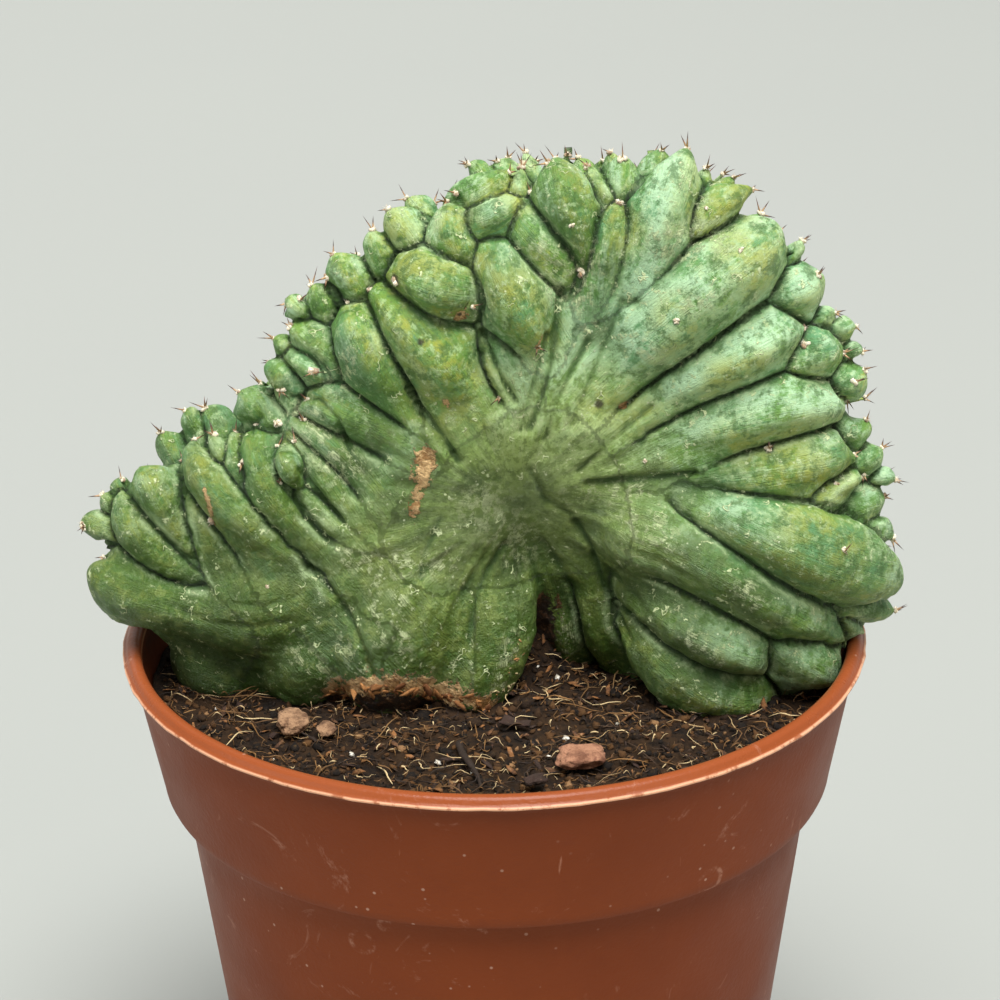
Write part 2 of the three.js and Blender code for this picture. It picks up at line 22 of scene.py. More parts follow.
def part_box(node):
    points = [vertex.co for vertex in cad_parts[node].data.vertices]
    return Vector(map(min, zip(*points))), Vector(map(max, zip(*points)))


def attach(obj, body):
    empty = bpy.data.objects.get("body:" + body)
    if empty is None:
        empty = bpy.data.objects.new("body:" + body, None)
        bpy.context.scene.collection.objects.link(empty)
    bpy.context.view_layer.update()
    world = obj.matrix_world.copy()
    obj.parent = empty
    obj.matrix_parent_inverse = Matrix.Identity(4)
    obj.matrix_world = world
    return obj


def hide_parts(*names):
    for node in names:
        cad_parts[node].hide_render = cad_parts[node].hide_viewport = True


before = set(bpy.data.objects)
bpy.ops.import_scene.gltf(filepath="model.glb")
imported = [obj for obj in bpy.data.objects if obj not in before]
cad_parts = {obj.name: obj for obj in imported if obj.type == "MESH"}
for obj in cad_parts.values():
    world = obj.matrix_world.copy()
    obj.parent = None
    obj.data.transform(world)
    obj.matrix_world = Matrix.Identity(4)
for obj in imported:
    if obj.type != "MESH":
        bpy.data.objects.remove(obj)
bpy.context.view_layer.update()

print("CAD nodes:", sorted(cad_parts))

# %% [markdown]
# ## Tools that every step shares
#
# An operator works on whatever is selected, and loading leaves the CAD nodes selected, so each
# step first picks its own piece. The plant's sizes are easier to read in millimetres, so they are
# written that way and turned into metres when a mesh is made.

# %% Pick pieces, read and write their points
MM = 0.001
RIM = 93.0   # height of the pot's rim plane, mm


def pick(*pieces):
    bpy.ops.object.select_all(action="DESELECT")
    for piece in pieces:
        piece.select_set(True)
    bpy.context.view_layer.objects.active = pieces[0]


@contextmanager
def edit_mode(piece):
    """Opens a piece for editing with all of it selected, and closes it again."""
    pick(piece)
    bpy.ops.object.mode_set(mode="EDIT")
    bpy.ops.mesh.select_all(action="SELECT")
    yield
    bpy.ops.object.mode_set(mode="OBJECT")


def finish_with(piece, kind, **settings):
    """Adds one modifier and applies it."""
    pick(piece)
    modifier = piece.modifiers.new(kind, kind)
    for name, value in settings.items():
        setattr(modifier, name, value)
    bpy.ops.object.modifier_apply(modifier=modifier.name)


def smooth_shaded(piece):
    pick(piece)
    bpy.ops.object.shade_smooth()
    return piece


def points_of(piece):
    """A piece's points in millimetres."""
    points = np.empty(len(piece.data.vertices) * 3, np.float32)
    piece.data.vertices.foreach_get("co", points)
    return points.reshape(-1, 3).astype(float) / MM


def move_points(piece, points):
    piece.data.vertices.foreach_set("co", (points * MM).astype(np.float32).ravel())
    piece.data.update()


def normals_of(piece):
    normals = np.empty(len(piece.data.vertices) * 3, np.float32)
    piece.data.vertex_normals.foreach_get("vector", normals)
    return normals.reshape(-1, 3).astype(float)


def triangles(piece):
    return sum(len(face.vertices) - 2 for face in piece.data.polygons)


def tree_of(piece):
    """What a ray or a search for the nearest place needs."""
    return BVHTree.FromObject(piece, bpy.context.evaluated_depsgraph_get())


def linked(name, mesh):
    piece = bpy.data.objects.new(name, mesh)
    bpy.context.collection.objects.link(piece)
    return piece


def new_piece(name, points, edges=(), faces=()):
    mesh = bpy.data.meshes.new(name)
    mesh.from_pydata((points * MM).tolist(), list(edges), list(faces))
    return linked(name, mesh)


def paint(piece, name, values):
    """Stores one number for each point, which a material can read by name."""
    attribute = piece.data.attributes.new(name, "FLOAT", "POINT")
    attribute.data.foreach_set("value", np.asarray(values, np.float32))


def smooth_step(low, high, value):
    share = np.clip((np.asarray(value, float) - low) / (high - low), 0, 1)
    return share * share * (3 - 2 * share)


def unit(vectors):
    return vectors / np.maximum(np.linalg.norm(vectors, axis=-1, keepdims=True), 1e-9)


def noise_at(points, size=1.0):
    """Soft noise between -1 and 1 at each point, in bumps of a given size."""
    return np.array([noise.noise(Vector(point) / size) for point in points])


# %% [markdown]
# ## The camera
#
# The picture looks down on the rim by about 23 degrees from 40 cm away. The camera stands there,
# and a ray through a place in the picture finds where a mark sits on the plant.

# %% Stand the camera at the picture's place
CAMERA_PLACE = Vector((0, -0.3615, 0.2641))
LENS, SENSOR = 101.5, 36.0
PICTURE_SIZE = 1000
pitch, yaw, roll = np.radians((22.7, 0.163, -0.83))
ahead = Vector((np.sin(yaw) * np.cos(pitch), np.cos(yaw) * np.cos(pitch), -np.sin(pitch)))
above = Vector((np.sin(yaw) * np.sin(pitch), np.cos(yaw) * np.sin(pitch), np.cos(pitch)))
turn = Matrix((ahead.cross(above), above, -ahead)).transposed() @ Matrix.Rotation(roll, 3, "Z")

bpy.ops.object.camera_add()
camera = bpy.context.object
camera.matrix_world = Matrix.Translation(CAMERA_PLACE) @ turn.to_4x4()
camera.data.lens = LENS
camera.data.sensor_width = SENSOR
camera.data.clip_start = 0.01
bpy.context.scene.camera = camera


def sight_line(across, down):
    """The direction from the camera through a place in the picture, counted from its top left."""
    reach = LENS / SENSOR * PICTURE_SIZE
    return (turn @ Vector((across - PICTURE_SIZE / 2, PICTURE_SIZE / 2 - down, -reach))).normalized()


print("camera at", tuple(round(value, 4) for value in camera.location))

# %% [markdown]
# ## The crest's shape
#
# A crest is a thick folded sheet. Low down the sheet waves forward and back, and higher up it is
# straight. The ribs lie on both faces of a flattened body, like fingers laid side by side, and
# each one swells out of the trunk and ends at the growing edge.
#
# It could be sculpted by hand, or carved out of a height map. Here every rib is a ball that is
# drawn out along a bent line, as a potter would press coils on a slab, because each rib of the
# real plant can then be placed, widened or lifted on its own. All of them are then fused.

# %% The folded sheet and the body's reach
HUB = np.array((3.0, 24.0))
BODY_HALF = 12.0
BODY_REACH = np.array((
    47, 45.5, 44.5, 46, 47, 43.5, 41.5, 36.5, 34, 34.5, 34, 36.5,
    49, 57.5, 54.5, 50, 42.5, 39, 38, 40, 44.5, 51.5, 52.5, 50))


def sheet_depth(x, z):
    """The sheet's y at a place. z is measured from the rim here and below."""
    wave = np.cos(2 * np.pi * (x - 8) / 50)
    wave = np.where(x < -17, -1 + np.minimum(1, (-17 - x) / 25), wave)
    wave = np.where(x > 33, -1 + np.minimum(1, (x - 33) / 30), wave)
    depth = np.where((x > 8) | (wave > 0), 8, 5)
    return depth * wave * (1 - smooth_step(-2, 38, z))


def body_reach(angle):
    place = np.mod(angle, 2 * np.pi) / (2 * np.pi) * len(BODY_REACH)
    low = np.floor(place).astype(int) % len(BODY_REACH)
    share = smooth_step(0, 1, place - np.floor(place))
    return BODY_REACH[low] * (1 - share) + BODY_REACH[(low + 1) % len(BODY_REACH)] * share


def edge_share(x, z):
    """0 at the hub and 1 at the body's edge."""
    angle = np.arctan2(z - HUB[1], x - HUB[0])
    return np.hypot(x - HUB[0], z - HUB[1]) / body_reach(angle)


def foot_share(z):
    return 0.65 + 0.35 * smooth_step(-6, 10, z)


def rib_seat(x, z):
    """How far in front of the sheet a rib's middle line is seated."""
    share = np.minimum(1, edge_share(x, z))
    return (4 + 6.5 * np.sqrt(1 - share * share)) * foot_share(z)


# %% [markdown]
# The front ribs follow the real plant: each has its root, its middle and its tip, then its width,
# and how far those three places stand out of the seat.

# %% The front ribs
FRONT_RIBS = [
    # Upper left, from the crown down the growing edge
    ((-4, 63.5), (-0.5, 65.5), (3, 68.5), 6, (-1, 0, 1)),
    ((1.5, 64), (0, 66.5), (-2.5, 68.5), 5, (-4, -3, -3)),
    ((3, 63.5), (2.5, 66.5), (1.5, 68.5), 6, (-5, -4, -4)),
    ((2.5, 65), (6.5, 61), (11.5, 56), 8.5, (-2, 0, 1)),
    ((-3.5, 61), (1, 63), (5, 65.5), 6, (0, 1, 2)),
    ((-0.5, 61), (2.5, 54.5), (6, 47.5), 8.5, (-2, 2, 3)),
    ((-1.5, 54), (-4.5, 59.5), (-5, 64.5), 7.5, (-1, 1, 1)),
    ((-12, 55), (-8, 54.5), (-3, 52.5), 10, (0, 2, 3)),
    ((-1, 34), (-8, 46), (-15.5, 52.5), 10.5, (-2, 1, 2)),
    ((-1.5, 49.5), (0, 44.5), (1.5, 39.5), 4.5, (-3, -1, -1)),
    ((-11.5, 36), (-16, 45), (-18.5, 50), 9, (-2, 1, 1)),
    ((-8.5, 57), (-11, 60.5), (-13, 63), 7, (-2, 0, 0)),
    ((-7.5, 59.5), (-9.5, 62), (-11, 63.5), 5, (-5, -4, -4)),
    ((-12, 54.5), (-14, 57.5), (-15, 60.5), 6, (-1, 0, 0)),
    ((-17, 51), (-19, 54.5), (-20.5, 57), 6.5, (-2, 0, 0)),
    ((-22, 48.5), (-22.5, 51), (-23.5, 53), 4.5, (-1, 0, 0)),
    ((-18.5, 50.5), (-20, 52.5), (-21.5, 53.5), 4, (-1, 0, 0)),
    ((-24.5, 47.5), (-26, 50), (-27, 50.5), 4, (-1, 0, 0)),
    ((-21, 43), (-24, 45.5), (-26.5, 47.5), 6, (-1, 1, 1)),
    ((-26, 43), (-27.5, 44.5), (-29, 45.5), 4, (-1, 0, 0)),
    ((-27, 43), (-25, 43), (-23, 41.5), 5, (-1, 1, 2)),
    ((-27, 41.5), (-28, 40.5), (-28.5, 39), 5.5, (-1, 1, 2)),
    ((-31, 34), (-32.5, 36.5), (-34, 38), 6, (-2, 0, 0)),
    # The left lobe
    ((-36.5, 29.5), (-38, 32), (-39.5, 33.5), 5, (-6, -5, -5)),
    ((-39.5, 29), (-41, 32), (-42, 33.5), 4.5, (-6, -5, -5)),
    ((-43, 26), (-44.5, 28.5), (-45.5, 30.5), 4.5, (-6, -5, -5)),
    ((-35.5, 27), (-36.5, 30), (-38, 32), 4.5, (-2, 1, 1)),
    ((-27.5, 19), (-33.5, 28.5), (-35, 32.5), 5, (-2, 1, 1)),
    ((-22.5, 15.5), (-31, 27.5), (-32, 33.5), 6.5, (-2, 1, 1)),
    ((-27.5, 26), (-28, 28.5), (-28.5, 30), 4, (-1, 0, 0)),
    ((-22.5, 12), (-36, 24.5), (-40.5, 31), 7, (-2, 1, 1)),
    ((-33.5, 9), (-40.5, 21.5), (-42.5, 28), 4.5, (-2, 0, 0)),
    ((-40, 12), (-45.5, 23.5), (-47, 26.5), 8.5, (-2, 1, 1)),
    ((-37.5, 6.5), (-47, 17), (-50.5, 25), 7.5, (-2, 1, 1)),
    ((-34, 5), (-49, 10.5), (-54, 13), 10.5, (-1, 1, 1)),
    ((-50, 16.5), (-53.5, 18.5), (-56.5, 18.5), 6, (-1, 0, 0)),
    ((-51, 20), (-52.5, 22), (-53.5, 23), 4, (-1, 0, 0)),
    ((-50, 22.5), (-51, 24.5), (-51.5, 25.5), 4, (-1, 0, 0)),
    # The wrinkled stretch between the left lobe and the hub
    ((-12.5, 32), (-18.5, 35.5), (-23.5, 37.5), 7.5, (-3, -1, 0)),
    ((-16, 26.5), (-20, 31), (-24.5, 34.5), 6, (-3, -1, 0)),
    ((-19.5, 23), (-22.5, 27.5), (-26, 31.5), 5, (-3, -1, 0)),
    ((-21.5, 20), (-25, 23.5), (-28.5, 26.5), 5, (-3, -1, 0)),
    ((-27, 28.5), (-27.5, 30), (-28.5, 31.5), 4, (2, 3, 3)),
    # The crown and the right side, clockwise
    ((6.5, 58.5), (5.5, 65), (5, 69), 5, (-7, -6, -6)),
    ((5, 60), (4.5, 65), (4.5, 68.5), 5, (-1, 0, 0)),
    ((13.5, 53.5), (10.5, 63.5), (9, 69.5), 10, (-2, 1, 0)),
    ((15, 59.5), (13.5, 65), (12, 68), 5, (-7, -6, -6)),
    ((15, 59.5), (14, 65), (13, 69), 6, (-1, 0, 0)),
    ((18, 61), (17, 65.5), (16.5, 68.5), 4.5, (-7, -6, -6)),
    ((17.5, 63.5), (17.5, 67), (18, 69.5), 5.5, (-1, 0, 0)),
    ((15, 51.5), (15.5, 59.5), (17.5, 64), 7, (-2, 1, 0)),
    ((15, 45.5), (21.5, 59.5), (26, 70.5), 10.5, (-3, 0, 0)),
    ((22, 64), (22.5, 67), (23, 69.5), 5.5, (-5, -4, -4)),
    ((26.5, 60.5), (28, 65), (29, 68), 4.5, (-2, -1, -1)),
    ((27.5, 61), (30.5, 64.5), (32.5, 67), 5, (-2, 0, 0)),
    ((18.5, 52), (27.5, 62), (34.5, 65.5), 7, (-2, 1, 1)),
    ((11.5, 36.5), (26, 51), (38, 59.5), 14, (-4, 0, 1)),
    ((38.5, 52.5), (40, 56), (41.5, 58), 5, (-2, 0, 0)),
    ((33.5, 48.5), (40.5, 51.5), (44, 53), 8.5, (-1, 1, 1)),
    ((41.5, 46), (44, 47.5), (46, 48), 4, (-1, 0, 0)),
    ((46, 44), (47.5, 45.5), (49, 46), 4, (-1, 0, 0)),
    ((14.5, 31.5), (32, 44), (40, 46), 10.5, (-3, 1, 1)),
    ((38.5, 41.5), (43, 43), (46.5, 43), 7.5, (0, 2, 2)),
    ((45, 37), (48, 38.5), (50, 40), 6.5, (0, 1, 1)),
    ((47, 41), (48.5, 42.5), (50, 42.5), 4, (-1, 0, 0)),
    ((12, 24), (34, 35.5), (48, 35), 10.5, (-4, 1, 1)),
    ((47, 30.5), (49.5, 31), (51, 32.5), 6, (-1, 0, 0)),
    ((49, 26.5), (51.5, 27.5), (53, 28.5), 5, (-1, 0, 0)),
    ((26.5, 25.5), (39.5, 28.5), (48.5, 28.5), 10.5, (-2, 1, 1)),
    ((40.5, 24.5), (45.5, 25.5), (50, 25.5), 6, (1, 2, 2)),
    ((48.5, 20.5), (51.5, 21), (53.5, 21.5), 5.5, (-1, 0, 0)),
    ((52, 24), (53.5, 24.5), (55, 24), 3.5, (-1, 0, 0)),
    ((25.5, 23.5), (39.5, 18.5), (55, 9.5), 13.5, (-2, 2, 1)),
    ((49, 18.5), (52.5, 17), (55, 15.5), 5, (-1, 0, 0)),
    ((14.5, 20.5), (31, 15.5), (49.5, 0), 10.5, (-3, 1, 1)),
    ((45.5, 8.5), (51, 6), (55.5, 4.5), 6.5, (-1, 0, 0)),
    ((46, 6.5), (49, 4.5), (51.5, 1.5), 4, (-1, 0, 0)),
    ((14.5, 10), (27.5, 6), (37, 0.5), 9.5, (-3, 0, 0)),
    ((15.5, 9), (26, -0.5), (37, -6), 10.5, (-3, 1, 0)),
    ((36.5, 4), (43, 0), (47, -4), 8.5, (-1, 1, 1)),
    # The fold's inner lobes
    ((9, 8), (10, 0.5), (10.5, -6.5), 7.5, (0, 1, 1)),
    ((14.5, 10), (15.5, 2.5), (16, -5.5), 7, (0, 1, 1)),
]

# %% Swellings with no crease: the stump, the belly, the hub and the root of the long low rib
SWELLINGS = [
    ((1.5, 17), (-1.5, 5.5), (-5, -8), 13, (-4, 2, 7)),
    ((-6, 18.5), (-12.5, 7), (-15, -7.5), 16, (-6, -2.5, -1)),
    ((-20, 9), (-25, 1.5), (-28, -7), 13, (-4, -2, -1)),
    ((-34.5, 0.5), (-38.5, -3), (-40.5, -8.5), 13, (-4, -3, -3)),
    ((-20, 10.5), (-32, 8.5), (-45.5, 8), 13.5, (-4, -2, -2)),
    ((8, 33), (-5, 21), (-14, 7.5), 18, (-7, -6, -6)),
    ((11.5, 42), (8.5, 29), (3, 15), 15, (-7.5, -6, -6.5)),
    ((14, 22), (20.5, 19.5), (27, 15), 12.5, (-4, -1, -1)),
]
print(len(FRONT_RIBS), "front ribs and", len(SWELLINGS), "swellings")

# %% [markdown]
# The back can't be seen in the picture. It follows the same plan by rule: long ribs that radiate
# from the hub, shorter ones between their tips, and a row along the growing edge. A small
# repeatable draw keeps them uneven.

# %% Ribs by rule over the back and along the edge
RIB_TURN, LAST_ANGLE = 11.5, 206   # degrees between neighbours, and where a row stops
SHORT_ROWS = (   # first angle, unevenness, start, end, width, lift
    (-18, 4, 0.78, 1.02, 4.4, (-1, 1, 0.5)),      # between the long ribs' tips
    (-22, 3, 0.86, 1.04, 4.2, (-3.5, -3.5, -3)),  # along the growing edge
)


def repeatable_draw(seed):
    state = seed
    while True:
        state = (state * 1664525 + 1013904223) % 4294967296
        yield state / 4294967296


def ribs_by_rule(draw):
    ribs = []

    def add(angle, start, end, width, lift, bend):
        free = min(float(body_reach(angle + aside)) for aside in (-0.07, 0, 0.07))
        places = []
        for share, way in ((start, angle), ((start + end) / 2, angle + bend), (end, angle)):
            reach = share * free
            places.append((HUB[0] + reach * np.cos(way), HUB[1] + reach * np.sin(way)))
        ribs.append((*places, width, lift))

    for angle in np.arange(-24, LAST_ANGLE, RIB_TURN):
        way = np.radians(angle + 4 * (next(draw) - 0.5))
        width = 7.2 * float(body_reach(way)) / 44
        start, end = 0.15 + 0.15 * next(draw), 1.03 + 0.04 * next(draw)
        add(way, start, end, width, (-4, 0.5, 0.5), 0.1 * (next(draw) - 0.5))
    for first, uneven, start, end, width, lift in SHORT_ROWS:
        for angle in np.arange(first, LAST_ANGLE, RIB_TURN):
            way = np.radians(angle + uneven * (next(draw) - 0.5))
            add(way, start, end + 0.05 * next(draw), width, lift, 0)
    return ribs


BACK_RIBS = ribs_by_rule(repeatable_draw(7))
print(len(BACK_RIBS), "ribs by rule")

# %% [markdown]
# A rib starts as one ball. Each point of the ball keeps its place round the ball's axis, and the
# axis is laid along the rib's bent line. The rib is slim where it leaves the trunk and full
# towards its tip. Slim ribs end in a point and carry a keel, wide ones are blunt and round.

# %% Draw a ball out into a rib
RIB_GIRTH = 1.14    # ribs press on their neighbours
RIB_DEPTH = 0.8     # a rib's depth as a share of its width

bpy.ops.mesh.primitive_uv_sphere_add(segments=20, ring_count=16, radius=MM)
ball = bpy.context.object
BALL = points_of(ball)


def rib_points(rib, face, shares):
    """Places and directions along a rib's middle line, in millimetres."""
    spots, width, lift = np.array(rib[:3], float), rib[3], np.array(rib[4])
    x, z = spots[:, 0], spots[:, 1]
    y = sheet_depth(x, z) + face * (rib_seat(x, z) + lift)
    root, middle, tip = np.stack((x, y, z), axis=1)
    pull = 2 * middle - 0.5 * root - 0.5 * tip
    before = 0.35 * smooth_step(8, 6, width)   # slim ribs start further down between the others
    share = np.asarray(shares)[:, None] * (1.06 + before - 0.05 * smooth_step(7, 12, width)) - before
    place = (1 - share) ** 2 * root + 2 * share * (1 - share) * pull + share ** 2 * tip
    along = unit(2 * (1 - share) * (pull - root) + 2 * share * (tip - pull))
    across = unit(np.cross(along, (0, face, 0)))
    return place, along, across


def fullness(rib, share):
    """A rib's half width at a share of its length, before its ends are rounded."""
    length = np.linalg.norm(np.array(rib[2]) - np.array(rib[0]))
    slim = np.clip(1.1 - 0.16 * length / rib[3], 0.42, 0.9)
    return rib[3] / 2 * (slim + (1 - slim) * smooth_step(0, 0.62, share)) * RIB_GIRTH


def girth(rib, share):
    """A rib's half width with its ends rounded off: pointed on a slim tip, blunt on a wide one."""
    ring = np.sqrt(np.maximum(0, 1 - (2 * share - 1) ** 2))
    point = 1.05 - 0.33 * smooth_step(0.1, 0.5, share)
    point = point + 1.15 * smooth_step(0.4, 0.9, share) * (1 - smooth_step(8, 14, rib[3]))
    return fullness(rib, share) * ring ** point


def grow_rib(rib, face):
    share = (1 + BALL[:, 2]) / 2
    ring = np.maximum(np.hypot(BALL[:, 0], BALL[:, 1]), 1e-4)
    place, along, across = rib_points(rib, face, share)
    outward = np.cross(across, along)
    radius = (girth(rib, share) / ring)[:, None]
    side, out = BALL[:, :1], BALL[:, 1:2]
    keeled = 0.34 * smooth_step(0.2, 0.75, share)[:, None] * smooth_step(15, 9, rib[3])
    side = side * (1 - keeled * np.maximum(0, out / ring[:, None]))
    grown = linked("rib", ball.data.copy())
    move_points(grown, place + (0, 0, RIM) + radius * (side * across + RIB_DEPTH * out * outward))
    return grown


parts = [grow_rib(rib, -1) for rib in FRONT_RIBS + SWELLINGS]
parts += [grow_rib(rib, 1) for rib in BACK_RIBS]
print(len(parts), "ribs and swellings drawn out")

# %% The body that carries the ribs
bpy.ops.mesh.primitive_uv_sphere_add(segments=64, ring_count=40, radius=MM)
body = bpy.context.object
core = points_of(body)
share = np.hypot(core[:, 0], core[:, 2])
angle = np.arctan2(core[:, 2], core[:, 0])
x = HUB[0] + share * body_reach(angle) * np.cos(angle)
z = HUB[1] + share * body_reach(angle) * np.sin(angle)
half = BODY_HALF * np.sqrt(np.abs(core[:, 1])) * foot_share(z)
y = sheet_depth(x, z) + np.sign(core[:, 1]) * half
move_points(body, np.stack((x, y, z + RIM), axis=1))

# %% [markdown]
# ## Fuse the ribs
#
# A voxel remesh takes the outer skin of everything that overlaps, so that ball on ball becomes
# one plant. The skin is then smoothed a little, which rounds the bottoms of the creases, and more
# round the hub, where the real ribs melt into the trunk. The foot is cut off level below the soil.

# %% One skin over body and ribs
SKIN_CELL = 0.45
SOIL_TOP = RIM - 5.5


def join_as(name, pieces):
    pick(*pieces)
    bpy.ops.object.join()
    pieces[0].name = pieces[0].data.name = name
    return pieces[0]


crest = join_as("crest_skin", [*parts, body])
bpy.data.objects.remove(ball)
finish_with(crest, "REMESH", mode="VOXEL", voxel_size=SKIN_CELL * MM)
with edit_mode(crest):
    bpy.ops.mesh.bisect(plane_co=(0, 0, (SOIL_TOP - 4) * MM), plane_no=(0, 0, 1),
                        use_fill=True, clear_inner=True)
print("crest skin:", triangles(crest), "triangles")

# %% Smooth the skin, more where ribs melt into the hub
points = points_of(crest)
x, z = points[:, 0], points[:, 2] - RIM
at_hub = 1 - smooth_step(0.06, 0.34, edge_share(x, z))
at_stump = smooth_step(20, 8, z) * smooth_step(-30, -22, x) * smooth_step(9, 4, x)
melt = np.maximum(at_hub, 0.8 * at_stump) * (points[:, 1] < sheet_depth(x, z))
group = crest.vertex_groups.new(name="melt")
for tenth in range(1, 11):
    band = np.nonzero(np.round(melt * 10) == tenth)[0].tolist()
    if band:
        group.add(band, tenth / 10, "REPLACE")
finish_with(crest, "SMOOTH", factor=0.5, iterations=3)
finish_with(crest, "SMOOTH", factor=0.5, iterations=16, vertex_group="melt")
print(int((melt > 0.05).sum()), "points melted together")

# %% [markdown]
# ## Which rib is a point on?
#
# The creases, the colours and the streaks all follow the ribs. For each point of the skin the
# script finds the nearest rib, how far along and across it the point lies, and how much nearer it
# is than the next rib. Where two ribs are equally near, there is a crease.

# %% Measure the skin against the ribs' middle lines
RIBS = [(rib, -1) for rib in FRONT_RIBS] + [(rib, 1) for rib in BACK_RIBS]
STEPS = np.linspace(0.02, 0.98, 13)   # shares of a rib's length
AT_ONCE = 4000                        # points that are measured together
rows = []
for rib, face in RIBS:
    place, along, across = rib_points(rib, face, STEPS)
    length = np.full(len(STEPS), np.linalg.norm(place[-1] - place[0]))
    rows.append((place + (0, 0, RIM), girth(rib, STEPS), fullness(rib, STEPS), across, length))
centres, radii, widths, sides, lengths = (np.concatenate(column) for column in zip(*rows))


def nearest_ribs(points):
    """For each point: its rib, its place along and across it, its lead over the next rib, its
    distance, and the rib's half width and length there."""
    count, total = len(STEPS), len(points)
    rib, spot, along = np.empty(total, int), np.empty(total, int), np.empty(total)
    lead, outside = np.empty(total), np.empty(total)
    for start in range(0, total, AT_ONCE):
        chunk = points[start:start + AT_ONCE]
        square = (chunk ** 2).sum(1)[:, None] + (centres ** 2).sum(1) - 2 * chunk @ centres.T
        away = (np.sqrt(np.maximum(square, 0)) - radii).reshape(len(chunk), -1, count)
        two = np.argpartition(away.min(axis=2), 1, axis=1)[:, :2]
        line = np.arange(len(chunk))
        best = []
        for candidate in (two[:, 0], two[:, 1]):
            # The lowest point of the curve through the nearest step and its two neighbours
            near = away[line, candidate]
            k = np.clip(near.argmin(axis=1), 1, count - 2)
            a, b, c = near[line, k - 1], near[line, k], near[line, k + 1]
            shift = np.clip((a - c) / np.maximum(2 * (a - 2 * b + c), 1e-6), -1, 1)
            best.append((b - 0.25 * (a - c) * shift, k, shift))
        first = best[0][0] <= best[1][0]
        low, k, shift = (np.where(first, one, other) for one, other in zip(*best))
        high = np.where(first, best[1][0], best[0][0])
        part = slice(start, start + len(chunk))
        rib[part] = np.where(first, two[:, 0], two[:, 1])
        spot[part] = rib[part] * count + k
        along[part] = STEPS[k] + shift * (STEPS[1] - STEPS[0])
        lead[part], outside[part] = high - low, low
    across = ((points - centres[spot]) * sides[spot]).sum(1)
    return rib, along, across, lead, outside, widths[spot], lengths[spot]


radius = nearest_ribs(points_of(crest))[5]
print("nearest ribs found for", len(radius), "points")

# %% Find a place of the picture on the skin
crest_tree = tree_of(crest)


def on_skin(across_px, down_px):
    """The skin's point and its normal where a place in the picture lies, in millimetres."""
    spot, normal, _, _ = crest_tree.ray_cast(CAMERA_PLACE, sight_line(across_px, down_px))
    if spot is None:
        return None
    return np.array(spot) / MM, np.array(normal)


def drawn_on_skin(places, steps):
    """Points on the skin along a line of places in the picture."""
    hits = []
    for start, end in zip(places[:-1], places[1:]):
        for way in np.linspace(0, 1, steps):
            hit = on_skin(*(np.array(start) * (1 - way) + np.array(end) * way))
            if hit is not None:
                hits.append(hit[0])
    return np.array(hits)


def distance_to(points, spots):
    return np.sqrt(np.min([((points - spot) ** 2).sum(axis=1) for spot in spots], axis=0))


print("the hub is at", on_skin(515, 420)[0].round(1), "mm")

# %% [markdown]
# Right of the hub some ribs don't part at once: they leave it as one smooth bulge, and the crease
# between them starts further out. Those places are named here, and everything that makes a crease
# holds back round them.

# %% Where ribs run into each other without a crease
SOFT_SPOTS = [   # across, down, reach in millimetres
    (642, 284, 4.5), (618, 318, 5.5), (596, 345, 5), (566, 372, 5), (700, 470, 3.5), (640, 262, 3),
]
soft_places = [(on_skin(across, down)[0], reach) for across, down, reach in SOFT_SPOTS]


def softness(points):
    """1 at the soft spots, 0 well away from them."""
    return np.max([np.exp(-((points - place) ** 2).sum(axis=1) / reach ** 2)
                   for place, reach in soft_places], axis=0)


print(len(soft_places), "soft spots")

# %% [markdown]
# Grown ribs press on each other until only a narrow crease is left between them, while drawn-out
# balls leave open valleys. So each point that lies below the average of its neighbourhood is
# raised towards it, and the points on the ribs' backs stay where they are. Round slim ribs the
# valleys stay more open.

# %% Fill the valleys between ribs
def neighbourhood(piece, rounds):
    """The way from each point to the average of its neighbourhood, which widens with the rounds."""
    points = points_of(piece)
    edges = np.empty(len(piece.data.edges) * 2, np.int32)
    piece.data.edges.foreach_get("vertices", edges)
    one, other = edges[::2], edges[1::2]
    count = np.bincount(edges, minlength=len(points))[:, None]
    spread = points
    for _ in range(rounds):
        total = [np.bincount(one, spread[other, axis], len(points))
                 + np.bincount(other, spread[one, axis], len(points)) for axis in range(3)]
        spread = np.stack(total, axis=1) / count
    return spread - points


for rounds, raised in ((70, 1.1 * smooth_step(1.8, 4.2, radius)), (40, 0.85)):
    away = neighbourhood(crest, rounds)
    outward = unit(normals_of(crest))
    low = np.maximum(0, (away * outward).sum(axis=1))
    raised = np.maximum(raised, 1.5 * softness(points_of(crest)))
    move_points(crest, points_of(crest) + away * (raised * (low > 0))[:, None])
    finish_with(crest, "SMOOTH", factor=0.5, iterations=2)
print("valleys filled by up to", round(float(low.max()), 1), "mm")

# %% [markdown]
# ## Creases and wrinkles
#
# On the plant the ribs press on each other, so that a thin dark line lies between them. The skin
# is pressed in along those lines. Slow swells, rays out of the hub and fine wrinkles keep the faces
# from looking turned on a lathe.

# %% Press in the creases, then add swells
LINE_DEPTH, LINE_WIDTH = 0.14, 0.6           # the line where two ribs press on each other
SHOULDER_DEPTH, SHOULDER_WIDTH = 0.22, 0.32  # the full shoulders beside it, in rib radii


def ribbed_share(points, outside):
    """1 where ribs stand free, 0 on the smooth hub and on bare body."""
    share = edge_share(points[:, 0], points[:, 2] - RIM)
    free = smooth_step(0.12, 0.42, share) * (1 - smooth_step(1.2, 3.0, outside))
    return free * (1 - softness(points))


